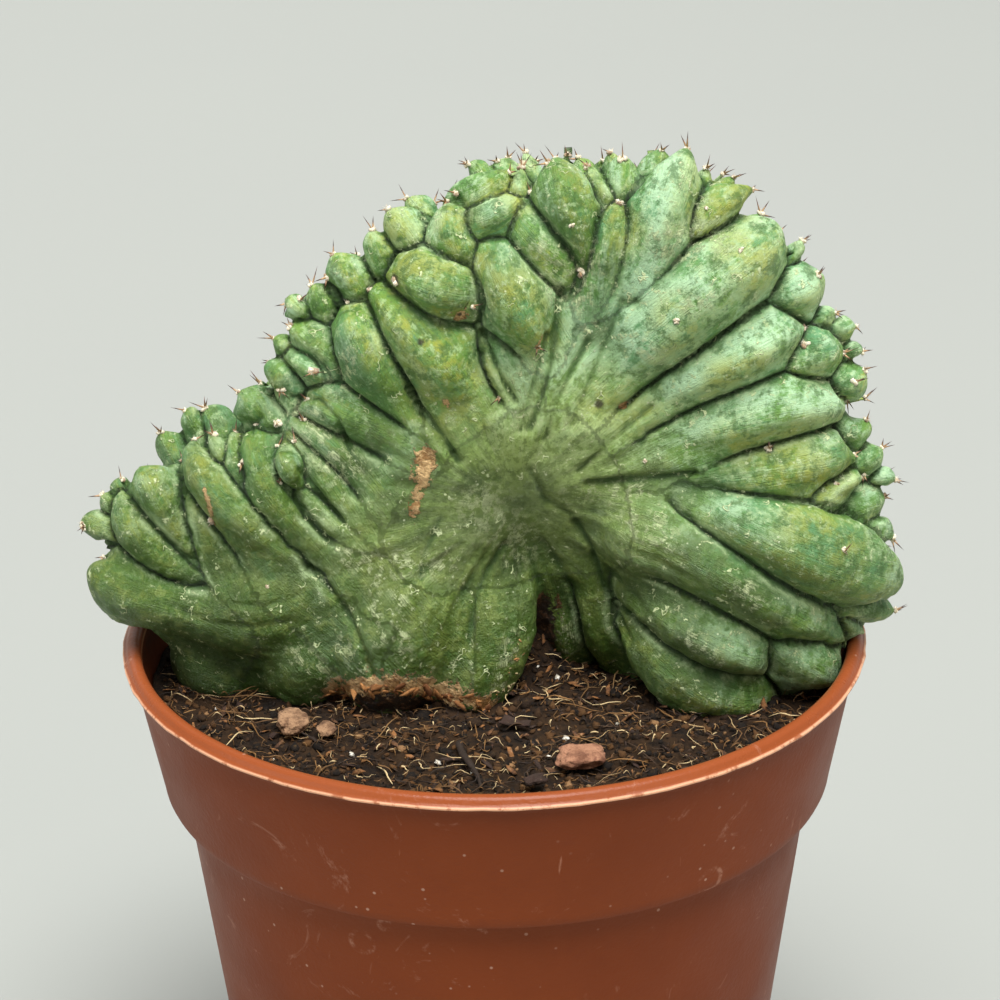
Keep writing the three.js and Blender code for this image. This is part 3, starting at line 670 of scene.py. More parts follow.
points = points_of(crest)
rib, along, across, gap, outside, radius, length = nearest_ribs(points)
x, z = points[:, 0], points[:, 2] - RIM
line = LINE_DEPTH * np.exp(-(gap / LINE_WIDTH) ** 2)
shoulder = SHOULDER_DEPTH * np.exp(-gap / (SHOULDER_WIDTH * radius))
keel = 0.07 * np.exp(-(across / (0.32 * radius)) ** 2) * smooth_step(0.15, 0.4, along)
push = radius * (keel - line - shoulder) * ribbed_share(points, outside)

push += 0.36 * (noise_at(points, 7) + 0.5 * noise_at(points, 3.2)) + 0.09 * noise_at(points, 1.7)
trunk = smooth_step(26, 6, z) * (points[:, 1] < 4)
push += trunk * (0.1 * noise_at(points / (5, 5, 0.9)) + 0.2 * noise_at(points / (1.1, 1.1, 4.5)))

share = edge_share(x, z)
turn_of = np.arctan2(x - HUB[0], z - HUB[1])
flat = np.zeros(len(points))
rays = noise_at(np.stack((4 * share, 11 * turn_of, flat + 0.5), axis=1))
rays += 0.5 * noise_at(np.stack((7 * share, 24 * turn_of, flat + 3.5), axis=1))
push += 0.42 * rays * smooth_step(0.08, 0.25, share) * smooth_step(0.75, 0.4, share)
move_points(crest, points + normals_of(crest) * push[:, None])
finish_with(crest, "SMOOTH", factor=0.4, iterations=1)
print("pushed by", round(float(push.min()), 1), "to", round(float(push.max()), 1), "mm")

# %% [markdown]
# Some creases follow no rib: a long one down the stump, a few that run from the ribs into the hub,
# and fine wrinkles over the belly. They are drawn as lines of places in the picture, and a ray
# finds each place on the skin.

# %% Draw the loose creases
LOOSE_CREASES = [   # depth and half width in millimetres, then the line
    (0.5, 0.5, ((310, 567), (330, 590), (347, 613), (360, 645), (372, 676))),
    (0.5, 0.5, ((408, 388), (424, 412), (445, 440), (458, 462))),
    (0.6, 0.6, ((562, 290), (556, 330), (551, 365), (540, 402), (529, 430))),
    (0.5, 0.5, ((548, 335), (540, 362), (532, 392), (520, 432))),
    (0.6, 0.5, ((482, 330), (494, 362), (506, 386), (515, 402))),
    (0.35, 0.45, ((622, 300), (604, 345), (590, 380), (572, 425))),
    (0.35, 0.45, ((652, 407), (625, 430), (600, 452), (578, 472))),
    (0.4, 0.45, ((588, 340), (572, 370), (556, 405), (545, 440))),
    (0.5, 0.45, ((290, 397), (318, 399), (336, 420), (350, 448), (362, 474))),
    (0.4, 0.4, ((262, 418), (252, 428), (254, 455), (262, 480))),
    (0.6, 0.6, ((694, 474), (660, 479), (622, 481), (588, 484))),
    (0.5, 0.6, ((575, 522), (590, 548), (600, 578), (614, 606), (628, 640))),
    (0.35, 0.45, ((277, 478), (300, 505), (330, 545))),
    (0.35, 0.45, ((300, 470), (325, 500), (350, 530))),
    (0.25, 0.6, ((172, 606), (205, 622), (250, 628), (290, 622))),
    (0.2, 0.4, ((232, 604), (262, 607), (300, 596))),
    (0.4, 0.6, ((505, 545), (486, 575), (474, 610), (470, 650))),
    (0.35, 0.5, ((440, 520), (425, 555), (418, 600), (424, 650))),
    (0.3, 0.5, ((530, 470), (545, 500), (570, 515))),
]
crest_tree = tree_of(crest)
points = points_of(crest)
press = np.zeros(len(points))
folds = []
for depth, width, places in LOOSE_CREASES:
    spots = drawn_on_skin(places, 24)
    folds.append((width, spots))
    reach = np.exp(-(distance_to(points, spots) / width) ** 2)
    press = np.maximum(press, 1.5 * depth * reach)
move_points(crest, points - normals_of(crest) * press[:, None])
print(len(folds), "loose creases drawn")

# %% Keep the crest clear of the pot's lip, and thin its mesh out
SKIN_FACES = 190000
points = points_of(crest)
reach = np.hypot(points[:, 0], points[:, 1])
room = np.interp(points[:, 2], (SOIL_TOP - 6, SOIL_TOP, RIM + 1.2, RIM + 1.8), (46.8, 48.4, 49.6, 90))
points[:, :2] *= np.minimum(1, room / np.maximum(reach, 1))[:, None]
move_points(crest, points)
finish_with(crest, "DECIMATE", ratio=min(1, SKIN_FACES / triangles(crest)))
smooth_shaded(crest)
crest_tree = tree_of(crest)
print("crest skin done:", triangles(crest), "triangles")

# %% [markdown]
# ## What the skin's colours follow
#
# The plant's own growth makes the tips yellow-green and takes the bloom off old bulges. Hollows and
# creases are darkened as painted shade, and the edges beside creases are lightened as a painted
# highlight. So these things are measured on the finished skin and stored at its points, and the
# material reads them.

# %% Measure hollows, creases and the ribs' backs on the skin
def hollows(piece, rounds):
    """How far each point lies below the average of its neighbourhood, in millimetres."""
    return (neighbourhood(piece, rounds) * normals_of(piece)).sum(axis=1)


points = points_of(crest)
rib, along, across, gap, outside, radius, length = nearest_ribs(points)
share = edge_share(points[:, 0], points[:, 2] - RIM)
ribbed = ribbed_share(points, outside)
fine, broad = hollows(crest, 4), hollows(crest, 60)
drawn = np.max([np.exp(-(distance_to(points, spots) / width) ** 2) for width, spots in folds], axis=0)
draw = repeatable_draw(23)
tone = np.array([next(draw) for _ in RIBS])
for name, values in (
        # The crease and hollow measures drive painted shade, and the measure of the edge beside a crease
        # drives a painted highlight.
        ("crease_shade", np.maximum(np.exp(-(gap / 0.4) ** 2) * ribbed, 0.8 * drawn)),
        ("back", np.exp(-((across / radius - 0.25) / 0.42) ** 2) * ribbed),
        ("crease_edge_highlight", np.exp(-((gap - 0.95) / 0.3) ** 2) * ribbed),
        ("hollow_shade", np.clip(0.5 + broad / 1.6, 0, 1)),
        ("fine_hollow", np.clip(0.5 + fine / 0.16, 0, 1)),
        ("tip", smooth_step(0.6, 0.98, along) * ribbed),
        ("hub", 1 - smooth_step(0.1, 0.62, share)),
        ("tone", tone[rib])):
    paint(crest, name, values)
print("hollows from", round(float(broad.min()), 2), "to", round(float(broad.max()), 2), "mm")

# %% Lay streaks along the ribs, and out of the hub
streak = np.stack((along * length, across, 40.0 * rib), axis=1)
turn_of = np.arctan2(points[:, 0] - HUB[0], points[:, 2] - RIM - HUB[1])
bend = noise_at(points, 9) + 0.4 * noise_at(points, 3)
radial = np.stack((share * 45, (turn_of + 0.07 * bend) * 20, np.zeros(len(points))), axis=1)
from_hub = (1 - smooth_step(0.2, 0.45, share))[:, None] > 0.5
flow = crest.data.attributes.new("flow", "FLOAT_VECTOR", "POINT")
flow.data.foreach_set("vector", np.where(from_hub, radial, streak).astype(np.float32).ravel())
print(int(from_hub.sum()), "points streaked out of the hub")

# %% [markdown]
# Scars, dried areoles and rubbed places belong to single spots of this plant. Some dark and pale
# marks also carry painted shade and painted light. Each is written as a short line in the picture
# and its size in millimetres, and rays find it on the skin. Nothing is projected: what is stored is
# a soft spot on the skin itself.

# %% Mark scars and rubbed places
MARKS = {
    # Orange-brown cork
    "cork": [
        ((460, 314), (460, 314), 0.9), ((427, 452), (421, 480), 1.3), ((421, 480), (414, 514), 0.9),
        ((622, 404), (622, 406), 0.6), ((205, 490), (213, 522), 0.45),
        ((332, 690), (380, 683), 1.6), ((380, 683), (430, 690), 2.0), ((430, 690), (488, 705), 1.8),
        ((446, 402), (446, 405), 0.6), ((541, 340), (538, 346), 0.5),
    ],
    # Bare olive patches round dead areoles
    "olive": [
        ((430, 330), (450, 350), 4.0), ((445, 395), (450, 412), 4.5), ((676, 318), (676, 330), 3.0),
        ((255, 560), (268, 590), 6.0), ((520, 335), (541, 342), 3.2), ((600, 403), (625, 410), 4.0),
        ((740, 190), (700, 215), 3.0), ((800, 200), (820, 235), 3.5), ((740, 445), (790, 452), 4.0),
        ((740, 250), (760, 262), 4.0), ((400, 570), (470, 620), 7.0), ((845, 540), (800, 520), 4.0),
        ((460, 210), (470, 250), 2.5), ((400, 262), (450, 268), 3.0), ((505, 172), (515, 195), 2.5),
        ((388, 232), (380, 250), 2.5), ((425, 345), (460, 388), 5.0), ((388, 290), (412, 318), 3.5),
        ((520, 295), (538, 336), 4.0), ((456, 226), (470, 262), 3.0), ((400, 262), (445, 270), 3.0),
        ((496, 182), (508, 188), 2.0), ((515, 202), (522, 206), 1.6), ((440, 640), (498, 662), 6.0),
        ((725, 180), (748, 196), 3.0), ((615, 215), (630, 235), 2.5), ((720, 376), (750, 366), 2.0),
        ((200, 470), (215, 520), 3.0), ((790, 470), (840, 476), 3.5),
    ],
    # Pale rubbed bloom, with flaky edges
    "pale": [
        ((663, 245), (713, 240), 2.6), ((585, 262), (560, 285), 2.4), ((690, 305), (722, 297), 1.0),
        ((640, 345), (660, 360), 1.0), ((586, 332), (600, 328), 0.8), ((340, 380), (360, 350), 1.4),
        ((745, 590), (757, 600), 1.2), ((300, 420), (345, 470), 2.2), ((372, 566), (378, 640), 0.9),
        ((398, 580), (404, 655), 1.0), ((350, 560), (440, 566), 1.5), ((480, 505), (520, 545), 2.8),
        ((345, 645), (372, 690), 1.2), ((630, 520), (670, 540), 1.6), ((512, 640), (500, 690), 1.2),
        ((690, 640), (712, 660), 1.2), ((560, 620), (570, 650), 1.2), ((300, 655), (330, 690), 1.6),
        ((570, 495), (640, 490), 1.2), ((540, 250), (580, 300), 1.4),
    ],
    # Old dark tissue, darkened further as painted shade on the belly and under the left lobe
    "old_and_shaded": [
        ((235, 582), (300, 560), 5.0), ((425, 482), (470, 500), 4.0), ((395, 500), (420, 522), 3.0),
        ((200, 655), (285, 684), 6.0), ((352, 470), (380, 442), 3.0), ((700, 562), (760, 604), 4.0),
        ((640, 600), (700, 662), 4.0), ((470, 480), (540, 492), 3.0), ((505, 560), (520, 600), 2.5),
        ((655, 475), (700, 478), 2.0), ((590, 300), (600, 330), 2.0),
    ],
    # Fresh skin that has lost its bloom, darkened further as painted shade
    "worn_and_shaded": [
        ((215, 440), (300, 405), 6.0), ((250, 475), (335, 440), 6.0), ((325, 345), (368, 385), 4.0),
        ((400, 275), (470, 312), 4.0), ((490, 250), (528, 330), 4.5), ((556, 175), (575, 250), 3.0),
        ((612, 212), (618, 255), 3.0), ((365, 465), (385, 535), 5.0), ((385, 560), (420, 615), 6.0),
        ((600, 462), (640, 500), 3.0), ((720, 558), (800, 574), 3.5), ((225, 590), (285, 598), 5.0),
        ((300, 500), (350, 540), 5.0), ((565, 610), (605, 660), 6.0), ((120, 560), (180, 600), 3.0),
    ],
    # Thick bloom, lightened further as painted light on lit ribs
    "waxy_and_lit": [
        ((600, 335), (700, 262), 6.0), ((640, 385), (770, 300), 6.0), ((660, 440), (820, 418), 6.0),
        ((560, 330), (540, 440), 5.0), ((690, 612), (820, 652), 6.0), ((740, 676), (800, 690), 5.0),
        ((820, 650), (850, 676), 4.0), ((870, 480), (895, 540), 5.0), ((495, 350), (515, 420), 4.0),
        ((680, 500), (760, 520), 4.0), ((450, 195), (455, 230), 2.5), ((320, 370), (300, 380), 2.0),
    ],
    # Soil that sticks below the crust of the stump's foot
    "earth": [
        ((335, 700), (385, 694), 1.6), ((372, 704), (425, 702), 2.4), ((420, 706), (455, 710), 2.4),
        ((450, 714), (492, 716), 1.8), ((542, 604), (542, 648), 2.0),
    ],
    # Near-black pits
    "pit": [
        ((599, 404), (599, 404), 0.6), ((769, 449), (769, 449), 0.7), ((676, 321), (676, 321), 0.4),
        ((421, 342), (421, 342), 0.5), ((460, 314), (460, 314), 0.35), ((395, 281), (395, 281), 1.0),
    ],
}
for kind, lines in MARKS.items():
    mark = np.zeros(len(points))
    for start, end, size in lines:
        for spot in drawn_on_skin((start, end), 12):
            mark = np.maximum(mark, 1 - np.linalg.norm(points - spot, axis=1) / (2 * size))
    paint(crest, kind, mark)
    print(kind, "marks:", int((mark > 0.5).sum()), "points")

# %% [markdown]
# ## A way to build finishes
#
# Every finish here is nodes alone. The helpers below write the few kinds of node that all of them
# use, so that a finish reads as a recipe: a colour, layers of other colours broken up by noise,
# then a roughness and a fine relief. Patterns follow Object coordinates, which are metres, or
# numbers stored on a piece.

# %% A finish and its nodes
def colour_of(red, green, blue):
    """A colour as it is read off a screen, turned into the light's own numbers."""
    steps = np.array((red, green, blue)) / 255
    return (*np.where(steps < 0.04, steps / 12.92, ((steps + 0.055) / 1.055) ** 2.4), 1)


class Wire:
    """What comes out of a node. Sums and products of wires add math nodes."""

    def __init__(self, finish, socket):
        self.finish, self.socket = finish, socket

    def math(self, kind, other):
        return self.finish.node("ShaderNodeMath", {0: self, 1: other}, operation=kind)

    def __add__(self, other):
        return self.math("ADD", other)

    def __sub__(self, other):
        return self.math("SUBTRACT", other)

    def __mul__(self, other):
        return self.math("MULTIPLY", other)

    def __abs__(self):
        return self.math("ABSOLUTE", 0)

    def top(self, other):
        return self.math("MAXIMUM", other)

    def step(self, low, high, start=0.0, end=1.0):
        """A soft step from start, where the wire is low, to end, where it is high."""
        inputs = {"Value": self, "From Min": low, "From Max": high, "To Min": start, "To Max": end}
        return self.finish.node("ShaderNodeMapRange", inputs, interpolation_type="SMOOTHSTEP")


class Finish:
    """One material, built node by node."""

    def __init__(self, name):
        self.material = bpy.data.materials.new(name)
        self.material.use_nodes = True
        self.tree = self.material.node_tree
        self.shader = self.tree.nodes["Principled BSDF"]
        self.place = Wire(self, self.tree.nodes.new("ShaderNodeTexCoord").outputs["Object"])

    def put(self, socket, value):
        if isinstance(value, Wire):
            self.tree.links.new(value.socket, socket)
        else:
            socket.default_value = value

    def node(self, kind, inputs, output=0, **settings):
        made = self.tree.nodes.new(kind)
        for name, value in settings.items():
            setattr(made, name, value)
        for key, value in inputs.items():
            self.put(made.inputs[key], value)
        return Wire(self, made.outputs[output])

    def stored(self, name, output="Fac"):
        """What is stored on the piece under a name."""
        return self.node("ShaderNodeAttribute", {}, output, attribute_name=name)

    def part_of_place(self, axis):
        return self.node("ShaderNodeSeparateXYZ", {"Vector": self.place}, axis)

    def stretched(self, where, scale):
        return self.node("ShaderNodeMapping", {"Vector": where, "Scale": scale})

    def noise(self, scale, detail=4.0, rough=0.5, where=None, bend=0.0):
        return self.node("ShaderNodeTexNoise", {
            "Vector": where or self.place, "Scale": scale, "Detail": detail,
            "Roughness": rough, "Distortion": bend})

    def cells(self, scale):
        return self.node("ShaderNodeTexVoronoi", {"Vector": self.place, "Scale": scale}, "Distance")

    def mix(self, share, one, other):
        made = self.tree.nodes.new("ShaderNodeMix")
        made.data_type = "RGBA"
        for name, kind, value in (("Factor", "VALUE", share), ("A", "RGBA", one), ("B", "RGBA", other)):
            self.put(next(s for s in made.inputs if s.name == name and s.type == kind), value)
        return Wire(self, next(s for s in made.outputs if s.type == "RGBA"))

    def base(self, share, one, other):
        """Two colours mixed, for the layers to lie on."""
        self.colour = self.mix(share, colour_of(*one), colour_of(*other))

    def layer(self, share, *colour):
        """One more colour over what lies there."""
        self.colour = self.mix(share, self.colour, colour_of(*colour))

    def done(self, rough, height=None, depth=0.0, **sockets):
        """The material, with a relief of a given depth in metres."""
        self.put(self.shader.inputs["Base Color"], self.colour)
        self.put(self.shader.inputs["Roughness"], rough)
        if height is not None:
            bump = self.node("ShaderNodeBump", {"Height": height, "Distance": depth})
            self.put(self.shader.inputs["Normal"], bump)
        for name, value in sockets.items():
            self.shader.inputs[name.replace("_", " ")].default_value = value
        return self.material


def hand_over(piece, material, slot, *nodes):
    """Dresses a piece, hides the CAD nodes that it stands for and hangs it on the root. The slot is not
    used.
    """
    piece.data.materials.clear()
    piece.data.materials.append(material)
    for node in nodes:
        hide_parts(node)
    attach(piece, "root")


# %% [markdown]
# ## The plant's skin
#
# A waxy green skin carries a thin bluish bloom. Where the bloom is rubbed off, the green is fresh
# and a little yellow, and the rub has ragged edges. Creases and hollows are darkened with painted
# shade, nearly black in the creases, and the edge beside a crease gets a painted highlight. Fine
# streaks run along the ribs and out of the hub, and pale flecks of dried skin lie all over.

# %% The patterns that the skin's colours share
skin = Finish("plant_skin")
hollow_shade, fine_hollow = skin.stored("hollow_shade"), skin.stored("fine_hollow")
hub, back = skin.stored("hub"), skin.stored("back")
flow_place = skin.stored("flow", "Vector")
height_on_plant = skin.part_of_place("Z")
streaks = skin.noise(1.0, 5, 0.68, skin.stretched(flow_place, (0.16, 1.3, 1)))
fibres = skin.noise(1.0, 4, 0.7, skin.stretched(flow_place, (0.5, 5.0, 1)))
drift = skin.noise(70, 4, 0.6)
ragged = skin.noise(190, 6, 0.74)
patchy = skin.noise(430, 5, 0.74)
flakes = skin.noise(820, 4, 0.72)
grain = skin.noise(2400, 2, 0.65)

# %% Fresh green, streaked along the ribs, yellow on their backs and tips
skin.base(drift.step(0.38, 0.62), (98, 144, 66), (96, 150, 102))
on_back = back.step(0.05, 0.9, 0.1, 0.9)
skin.layer(streaks.step(0.35, 0.6) * on_back, 138, 168, 68)
skin.layer(ragged.step(0.46, 0.6) * on_back * 0.85, 182, 182, 62)
skin.layer(streaks.step(0.42, 0.66, 0, 0.6), 80, 118, 50)
skin.layer(skin.stored("tip") * ragged.step(0.4, 0.6) * 0.6, 172, 182, 92)

# %% The bloom lies in streaks and ragged films; it is thinned in hollows as painted shade, thinned where it is worn with painted shade added, and thickened where it is waxy with painted light added
worn_and_shaded = skin.stored("worn_and_shaded").step(0.0, 0.8)
film = ragged * 0.5 + streaks * 0.25 + flakes * 0.25
film = film + skin.stored("tone").step(0, 1, -0.025, 0.025)
film = film + height_on_plant.step(0.098, 0.135, -0.04, 0.005)
film = film + skin.stored("waxy_and_lit").step(0.0, 0.8, 0, 0.035) - worn_and_shaded * 0.03
bloom = film.step(0.455, 0.56) * hollow_shade.step(0.75, 0.35, 0.25, 0.8) * back.step(0.3, 1.0, 1.0, 0.55)
skin.layer(bloom, 184, 220, 178)
# Worn bloom shows fresh dark green, which also serves as painted shade.
skin.layer(worn_and_shaded * ragged.step(0.38, 0.58, 0.1, 0.5), 60, 100, 48)
skin.layer(skin.stored("olive").step(0.1, 0.9) * ragged.step(0.38, 0.56) * 0.66, 154, 158, 50)
skin.layer(patchy.step(0.38, 0.52, 0.75, 0), 66, 102, 44)
skin.layer(flakes.step(0.53, 0.63, 0, 0.6), 168, 196, 138)

# %% Pale fibres run out of the hub, and the trunk's foot is old and dark
skin.layer(hub * 0.75, 184, 204, 118)
at_hub = hub.step(0.05, 0.8)
skin.layer(at_hub * streaks.step(0.48, 0.6) * ragged.step(0.4, 0.56, 0.1, 0.8), 188, 206, 142)
skin.layer(at_hub * flakes.step(0.5, 0.42) * 0.5, 92, 116, 50)
old_tissue = height_on_plant.step(0.14, 0.1) * skin.part_of_place("X").step(0.04, 0.012, 0.35, 0.78)
skin.layer(old_tissue, 60, 84, 14)
skin.layer(old_tissue.step(0.1, 0.7) * patchy.step(0.5, 0.62, 0, 0.45), 138, 154, 82)
# Old dark tissue, partly painted shade on the belly and under the left lobe.
skin.layer(skin.stored("old_and_shaded").step(0.05, 0.9) * ragged.step(0.4, 0.6, 0.25, 0.8), 62, 84, 32)

# %% Painted shade darkens hollows and creases, and a painted highlight lightens the folded edge beside a crease in places
skin.layer(hollow_shade.step(0.5, 0.95, 0, 0.8), 48, 78, 34)
crease_shade = skin.stored("crease_shade").step(0.35, 1.0) * fine_hollow.step(0.42, 0.68)
skin.layer(crease_shade * 0.85, 30, 48, 22)
# A painted highlight on the edge beside each crease, broken up by noise.
skin.layer(skin.stored("crease_edge_highlight") * ragged.step(0.44, 0.6, 0, 0.55), 190, 214, 160)

# %% Curled edges of dried skin, rubbed films, dust and dots
curl = abs(skin.noise(260, 3, 0.6) - 0.5).step(0.02, 0.004) * skin.noise(520, 2, 0.6).step(0.58, 0.63)
rubbed = skin.stored("pale").step(0.05, 0.9) * flakes.step(0.48, 0.57) * fibres.step(0.42, 0.56, 0.2, 1)
fleck = curl.top(rubbed * 0.85).top(flakes.step(0.6, 0.64) * ragged.step(0.46, 0.6))
skin.layer(fleck * 0.88, 210, 222, 168)
skin.layer(skin.cells(700).step(0.15, 0.06, 0, 0.6) * ragged.step(0.45, 0.6), 220, 228, 190)
skin.layer(skin.cells(520).step(0.09, 0.05, 0, 0.6) * ragged.step(0.52, 0.4), 58, 64, 30)

# %% Earth, cork and pits, with torn edges
torn = (flakes - 0.5) * 2.2 + (ragged - 0.5)
earth_mark, cork_mark = skin.stored("earth"), skin.stored("cork")
earth = (earth_mark + torn).step(0.35, 0.6) * earth_mark.step(0.02, 0.2)
cork = (cork_mark + torn).step(0.5, 0.66) * cork_mark.step(0.02, 0.2)
soiled = skin.mix(flakes.step(0.5, 0.62), colour_of(36, 24, 14), colour_of(98, 66, 38))
corky = skin.mix(patchy.step(0.4, 0.6), colour_of(150, 110, 60), colour_of(222, 186, 130))
corky = skin.mix(fibres.step(0.52, 0.62, 0, 0.5), corky, colour_of(112, 70, 38))
skin.colour = skin.mix(cork, skin.mix(earth, skin.colour, soiled), corky)
skin.layer(skin.stored("pit").step(0.25, 0.7, 0, 0.9), 48, 40, 24)

# %% The skin's relief
height = fleck * 0.4 + grain * 0.25 + fibres * 0.8
height = height + patchy * old_tissue.step(0.2, 0.7, 1.1, 2.0) + cork * flakes * 2.0
skin_finish = skin.done(ragged.step(0.35, 0.65, 0.37, 0.55), height, 0.00044, Specular_IOR_Level=0.5)
hand_over(crest, skin_finish, "crest", "crest")
print("the skin's finish has", len(skin.tree.nodes), "nodes")

# %% [markdown]
# ## Areoles: wool and spines
#
# An areole is the small cushion that a cactus grows its spines from. Here each sits on a rib's
# tip or on a bump along it: a tuft of cream wool with up to four short spines, pale at the base
# and nearly black at the point. Old ones have lost their spines.
#
# One tuft and one cone are modelled, and copies of them are turned and scaled. The wool's hairs
# and the spines are the same cone.

# %% Stamp copies of a blank
def stamp(name, blank, places, tones=None):
    """One mesh out of many copies. A place is the copy's three axes in rows, then its spot."""
    base = points_of(blank)
    faces = np.array([tuple(face.vertices) for face in blank.data.polygons])
    spots = np.concatenate([base @ axes + spot for axes, spot in places])
    corners = np.concatenate([faces + i * len(base) for i in range(len(places))])
    piece = new_piece(name, spots, faces=corners.tolist())
    if tones is not None:
        paint(piece, "tone", np.repeat(tones, len(base)))
    return smooth_shaded(piece)


def any_way(dice):
    return np.array([dice.gauss(0, 1) for _ in range(3)])


def axes_along(way, dice, size):
    """Three axes for a copy whose own z lies along a direction, turned at random about it."""
    way = unit(np.asarray(way, float))
    side = unit(np.cross(way, unit(any_way(dice))))
    return np.stack((side * size[0], np.cross(way, side) * size[1], way * size[2]))


def triangulated(piece):
    finish_with(piece, "TRIANGULATE")
    return piece


def draws(dice, places):
    return np.array([dice.random() for _ in places])


# %% Where the areoles sit
AREOLE_GAP = 1.9    # the least distance between two, mm
areoles = []        # spot, direction, size of the wool, spines
dice = random.Random(41)


def add_areole(spot, way, size, spines):
    if all(np.linalg.norm(spot - other[0]) > AREOLE_GAP for other in areoles):
        areoles.append((spot, unit(way), size, spines))


PICTURE_AREOLES = [   # across, down, size of the wool, spines
    (447, 202, 1.3, 4), (395, 281, 1.3, 0), (370, 290, 1.1, 0), (580, 272, 1.5, 1),
    (312, 373, 1.7, 2), (280, 390, 1.5, 2), (327, 277, 1.2, 2), (278, 422, 1.5, 1),
    (242, 463, 1.5, 3), (213, 435, 1.5, 3), (212, 521, 1.6, 0), (268, 586, 0.7, 0),
    (84, 526, 1.6, 4), (527, 145, 1.5, 3), (522, 165, 1.6, 1), (548, 163, 1.4, 2),
    (575, 152, 1.5, 3), (587, 167, 1.3, 0), (612, 147, 1.4, 3), (623, 159, 1.5, 1),
    (619, 204, 1.5, 0), (686, 147, 1.4, 2), (709, 163, 1.1, 0), (735, 172, 1.0, 0),
    (707, 209, 0.9, 0), (742, 250, 0.9, 0), (645, 461, 0.8, 0), (572, 225, 0.8, 0),
    (818, 275, 1.2, 2), (805, 344, 1.5, 0), (855, 382, 1.4, 2), (769, 449, 1.3, 4),
    (845, 551, 1.2, 2), (893, 538, 1.2, 3), (836, 484, 0.9, 0), (676, 321, 1.0, 0),
    (767, 207, 1.4, 3), (782, 210, 1.4, 2), (812, 240, 1.3, 2), (845, 310, 1.4, 2),
    (862, 325, 1.3, 2), (884, 440, 1.3, 3), (893, 500, 1.3, 3), (903, 545, 1.2, 2),
    (165, 427, 1.2, 2), (205, 408, 1.3, 3), (225, 405, 1.2, 2), (120, 470, 1.2, 2),
    (464, 163, 1.4, 3), (388, 206, 1.3, 3), (400, 200, 1.3, 2), (335, 250, 1.4, 3),
    (300, 300, 1.3, 2), (262, 370, 1.4, 3), (280, 330, 1.3, 2), (140, 462, 1.2, 2),
]
for across_px, down_px, size, spines in PICTURE_AREOLES:
    hit = on_skin(across_px, down_px)
    if hit is not None:
        add_areole(*hit, size, spines)
print(len(areoles), "areoles from the picture")

for rib, face in RIBS:
    place, forward, _ = rib_points(rib, face, (0.97,))
    tip = place[0] + (0, 0, RIM) + forward[0] * rib[3] * 0.1
    spot, normal, _, _ = crest_tree.find_nearest(Vector(tip * MM))
    spot, normal = np.array(spot) / MM, np.array(normal)
    if spot[2] > RIM + 2:
        way = unit(normal + 0.8 * forward[0])
        add_areole(spot, way, dice.uniform(0.9, 1.4), dice.choice((1, 2, 2, 3, 3)))
print(len(areoles), "areoles in all")

# %% A tuft of wool
bpy.ops.mesh.primitive_uv_sphere_add(segments=8, ring_count=4, radius=MM)
tuft = triangulated(bpy.context.object)
shape = points_of(tuft)
shape *= 1 + 0.6 * noise_at(shape * 1.7)[:, None]
shape[:, 2] *= 0.62
move_points(tuft, shape)
places = []
for spot, way, size, _ in areoles:
    for _ in range(5):
        around = axes_along(way, dice, (1, 1, 1))
        shift = around[0] * dice.uniform(0.05, 0.36) * size
        half = size * dice.uniform(0.2, 0.36)
        axes = axes_along(unit(way + 0.5 * around[1]), dice, (half, half * 0.7, half * 1.2))
        places.append((axes, spot + shift + way * 0.05 * size))
wool = stamp("wool", tuft, places, draws(dice, places))
print("wool:", triangles(wool), "triangles")

# %% Wool hairs and spines, drawn from one cone
SPINE_LONG, SPINE_THICK = (1.1, 2.5), (0.13, 0.18)
bpy.ops.mesh.primitive_cone_add(vertices=5, radius1=MM, radius2=0, depth=MM, location=(0, 0, 0.5 * MM))
bpy.ops.object.transform_apply(location=True)
cone = triangulated(bpy.context.object)
hairs, hair_tones, thorns = [], [], []
for spot, way, size, spines in areoles:
    for _ in range(10):
        lean = unit(way + 1.1 * unit(any_way(dice)))
        hairs.append((axes_along(lean, dice, (0.06, 0.06, size * dice.uniform(0.45, 0.8))), spot))
        hair_tones.append(dice.random())
    for _ in range(spines):
        lean = unit(way + 0.75 * unit(any_way(dice)))
        long, thick = dice.uniform(*SPINE_LONG), dice.uniform(*SPINE_THICK)
        thorns.append((axes_along(lean, dice, (thick, thick, long)), spot + lean * 0.2))
hair = stamp("wool_hairs", cone, hairs, np.array(hair_tones))
spine = stamp("spines", cone, thorns)
paint(spine, "along", np.tile(points_of(cone)[:, 2], len(thorns)))
for blank in (tuft, cone):
    bpy.data.objects.remove(blank)
print(len(thorns), "spines and", len(hairs), "hairs")

# %% Finishes for wool and spines
felt = Finish("areole_wool")
speck = felt.noise(2600, 4, 0.7)
felt.base(speck.step(0.35, 0.65), (196, 180, 146), (240, 232, 210))
felt.layer(felt.stored("tone").step(0.7, 0.8, 0, 0.75), 132, 96, 62)
wool_finish = felt.done(0.95, speck, 0.00015, Sheen_Weight=0.4)
horn = Finish("spine_horn")
horn.base(horn.stored("along").step(0.15, 0.6), (196, 160, 120), (52, 28, 22))
horn.layer(horn.noise(900).step(0.4, 0.7, 0, 0.5), 110, 64, 44)
horn_finish = horn.done(0.45, horn.noise(3000), 0.00003)
for piece, material in ((wool, wool_finish), (hair, wool_finish), (spine, horn_finish)):
    hand_over(piece, material, "crest")

# %% [markdown]
# ## The soil
#
# The pot is filled with loose peat: dark crumbs of many sizes, roots and fibres, flat chips of
# bark and a few white grains. It lies a finger's breadth below the rim and rises a little round
# the foot of the plant.
#
# A closed plug with an uneven top carries it. Crumbs, fibres and chips are modelled once each and
# scattered over it in many sizes, because a bump alone looks flat this near.

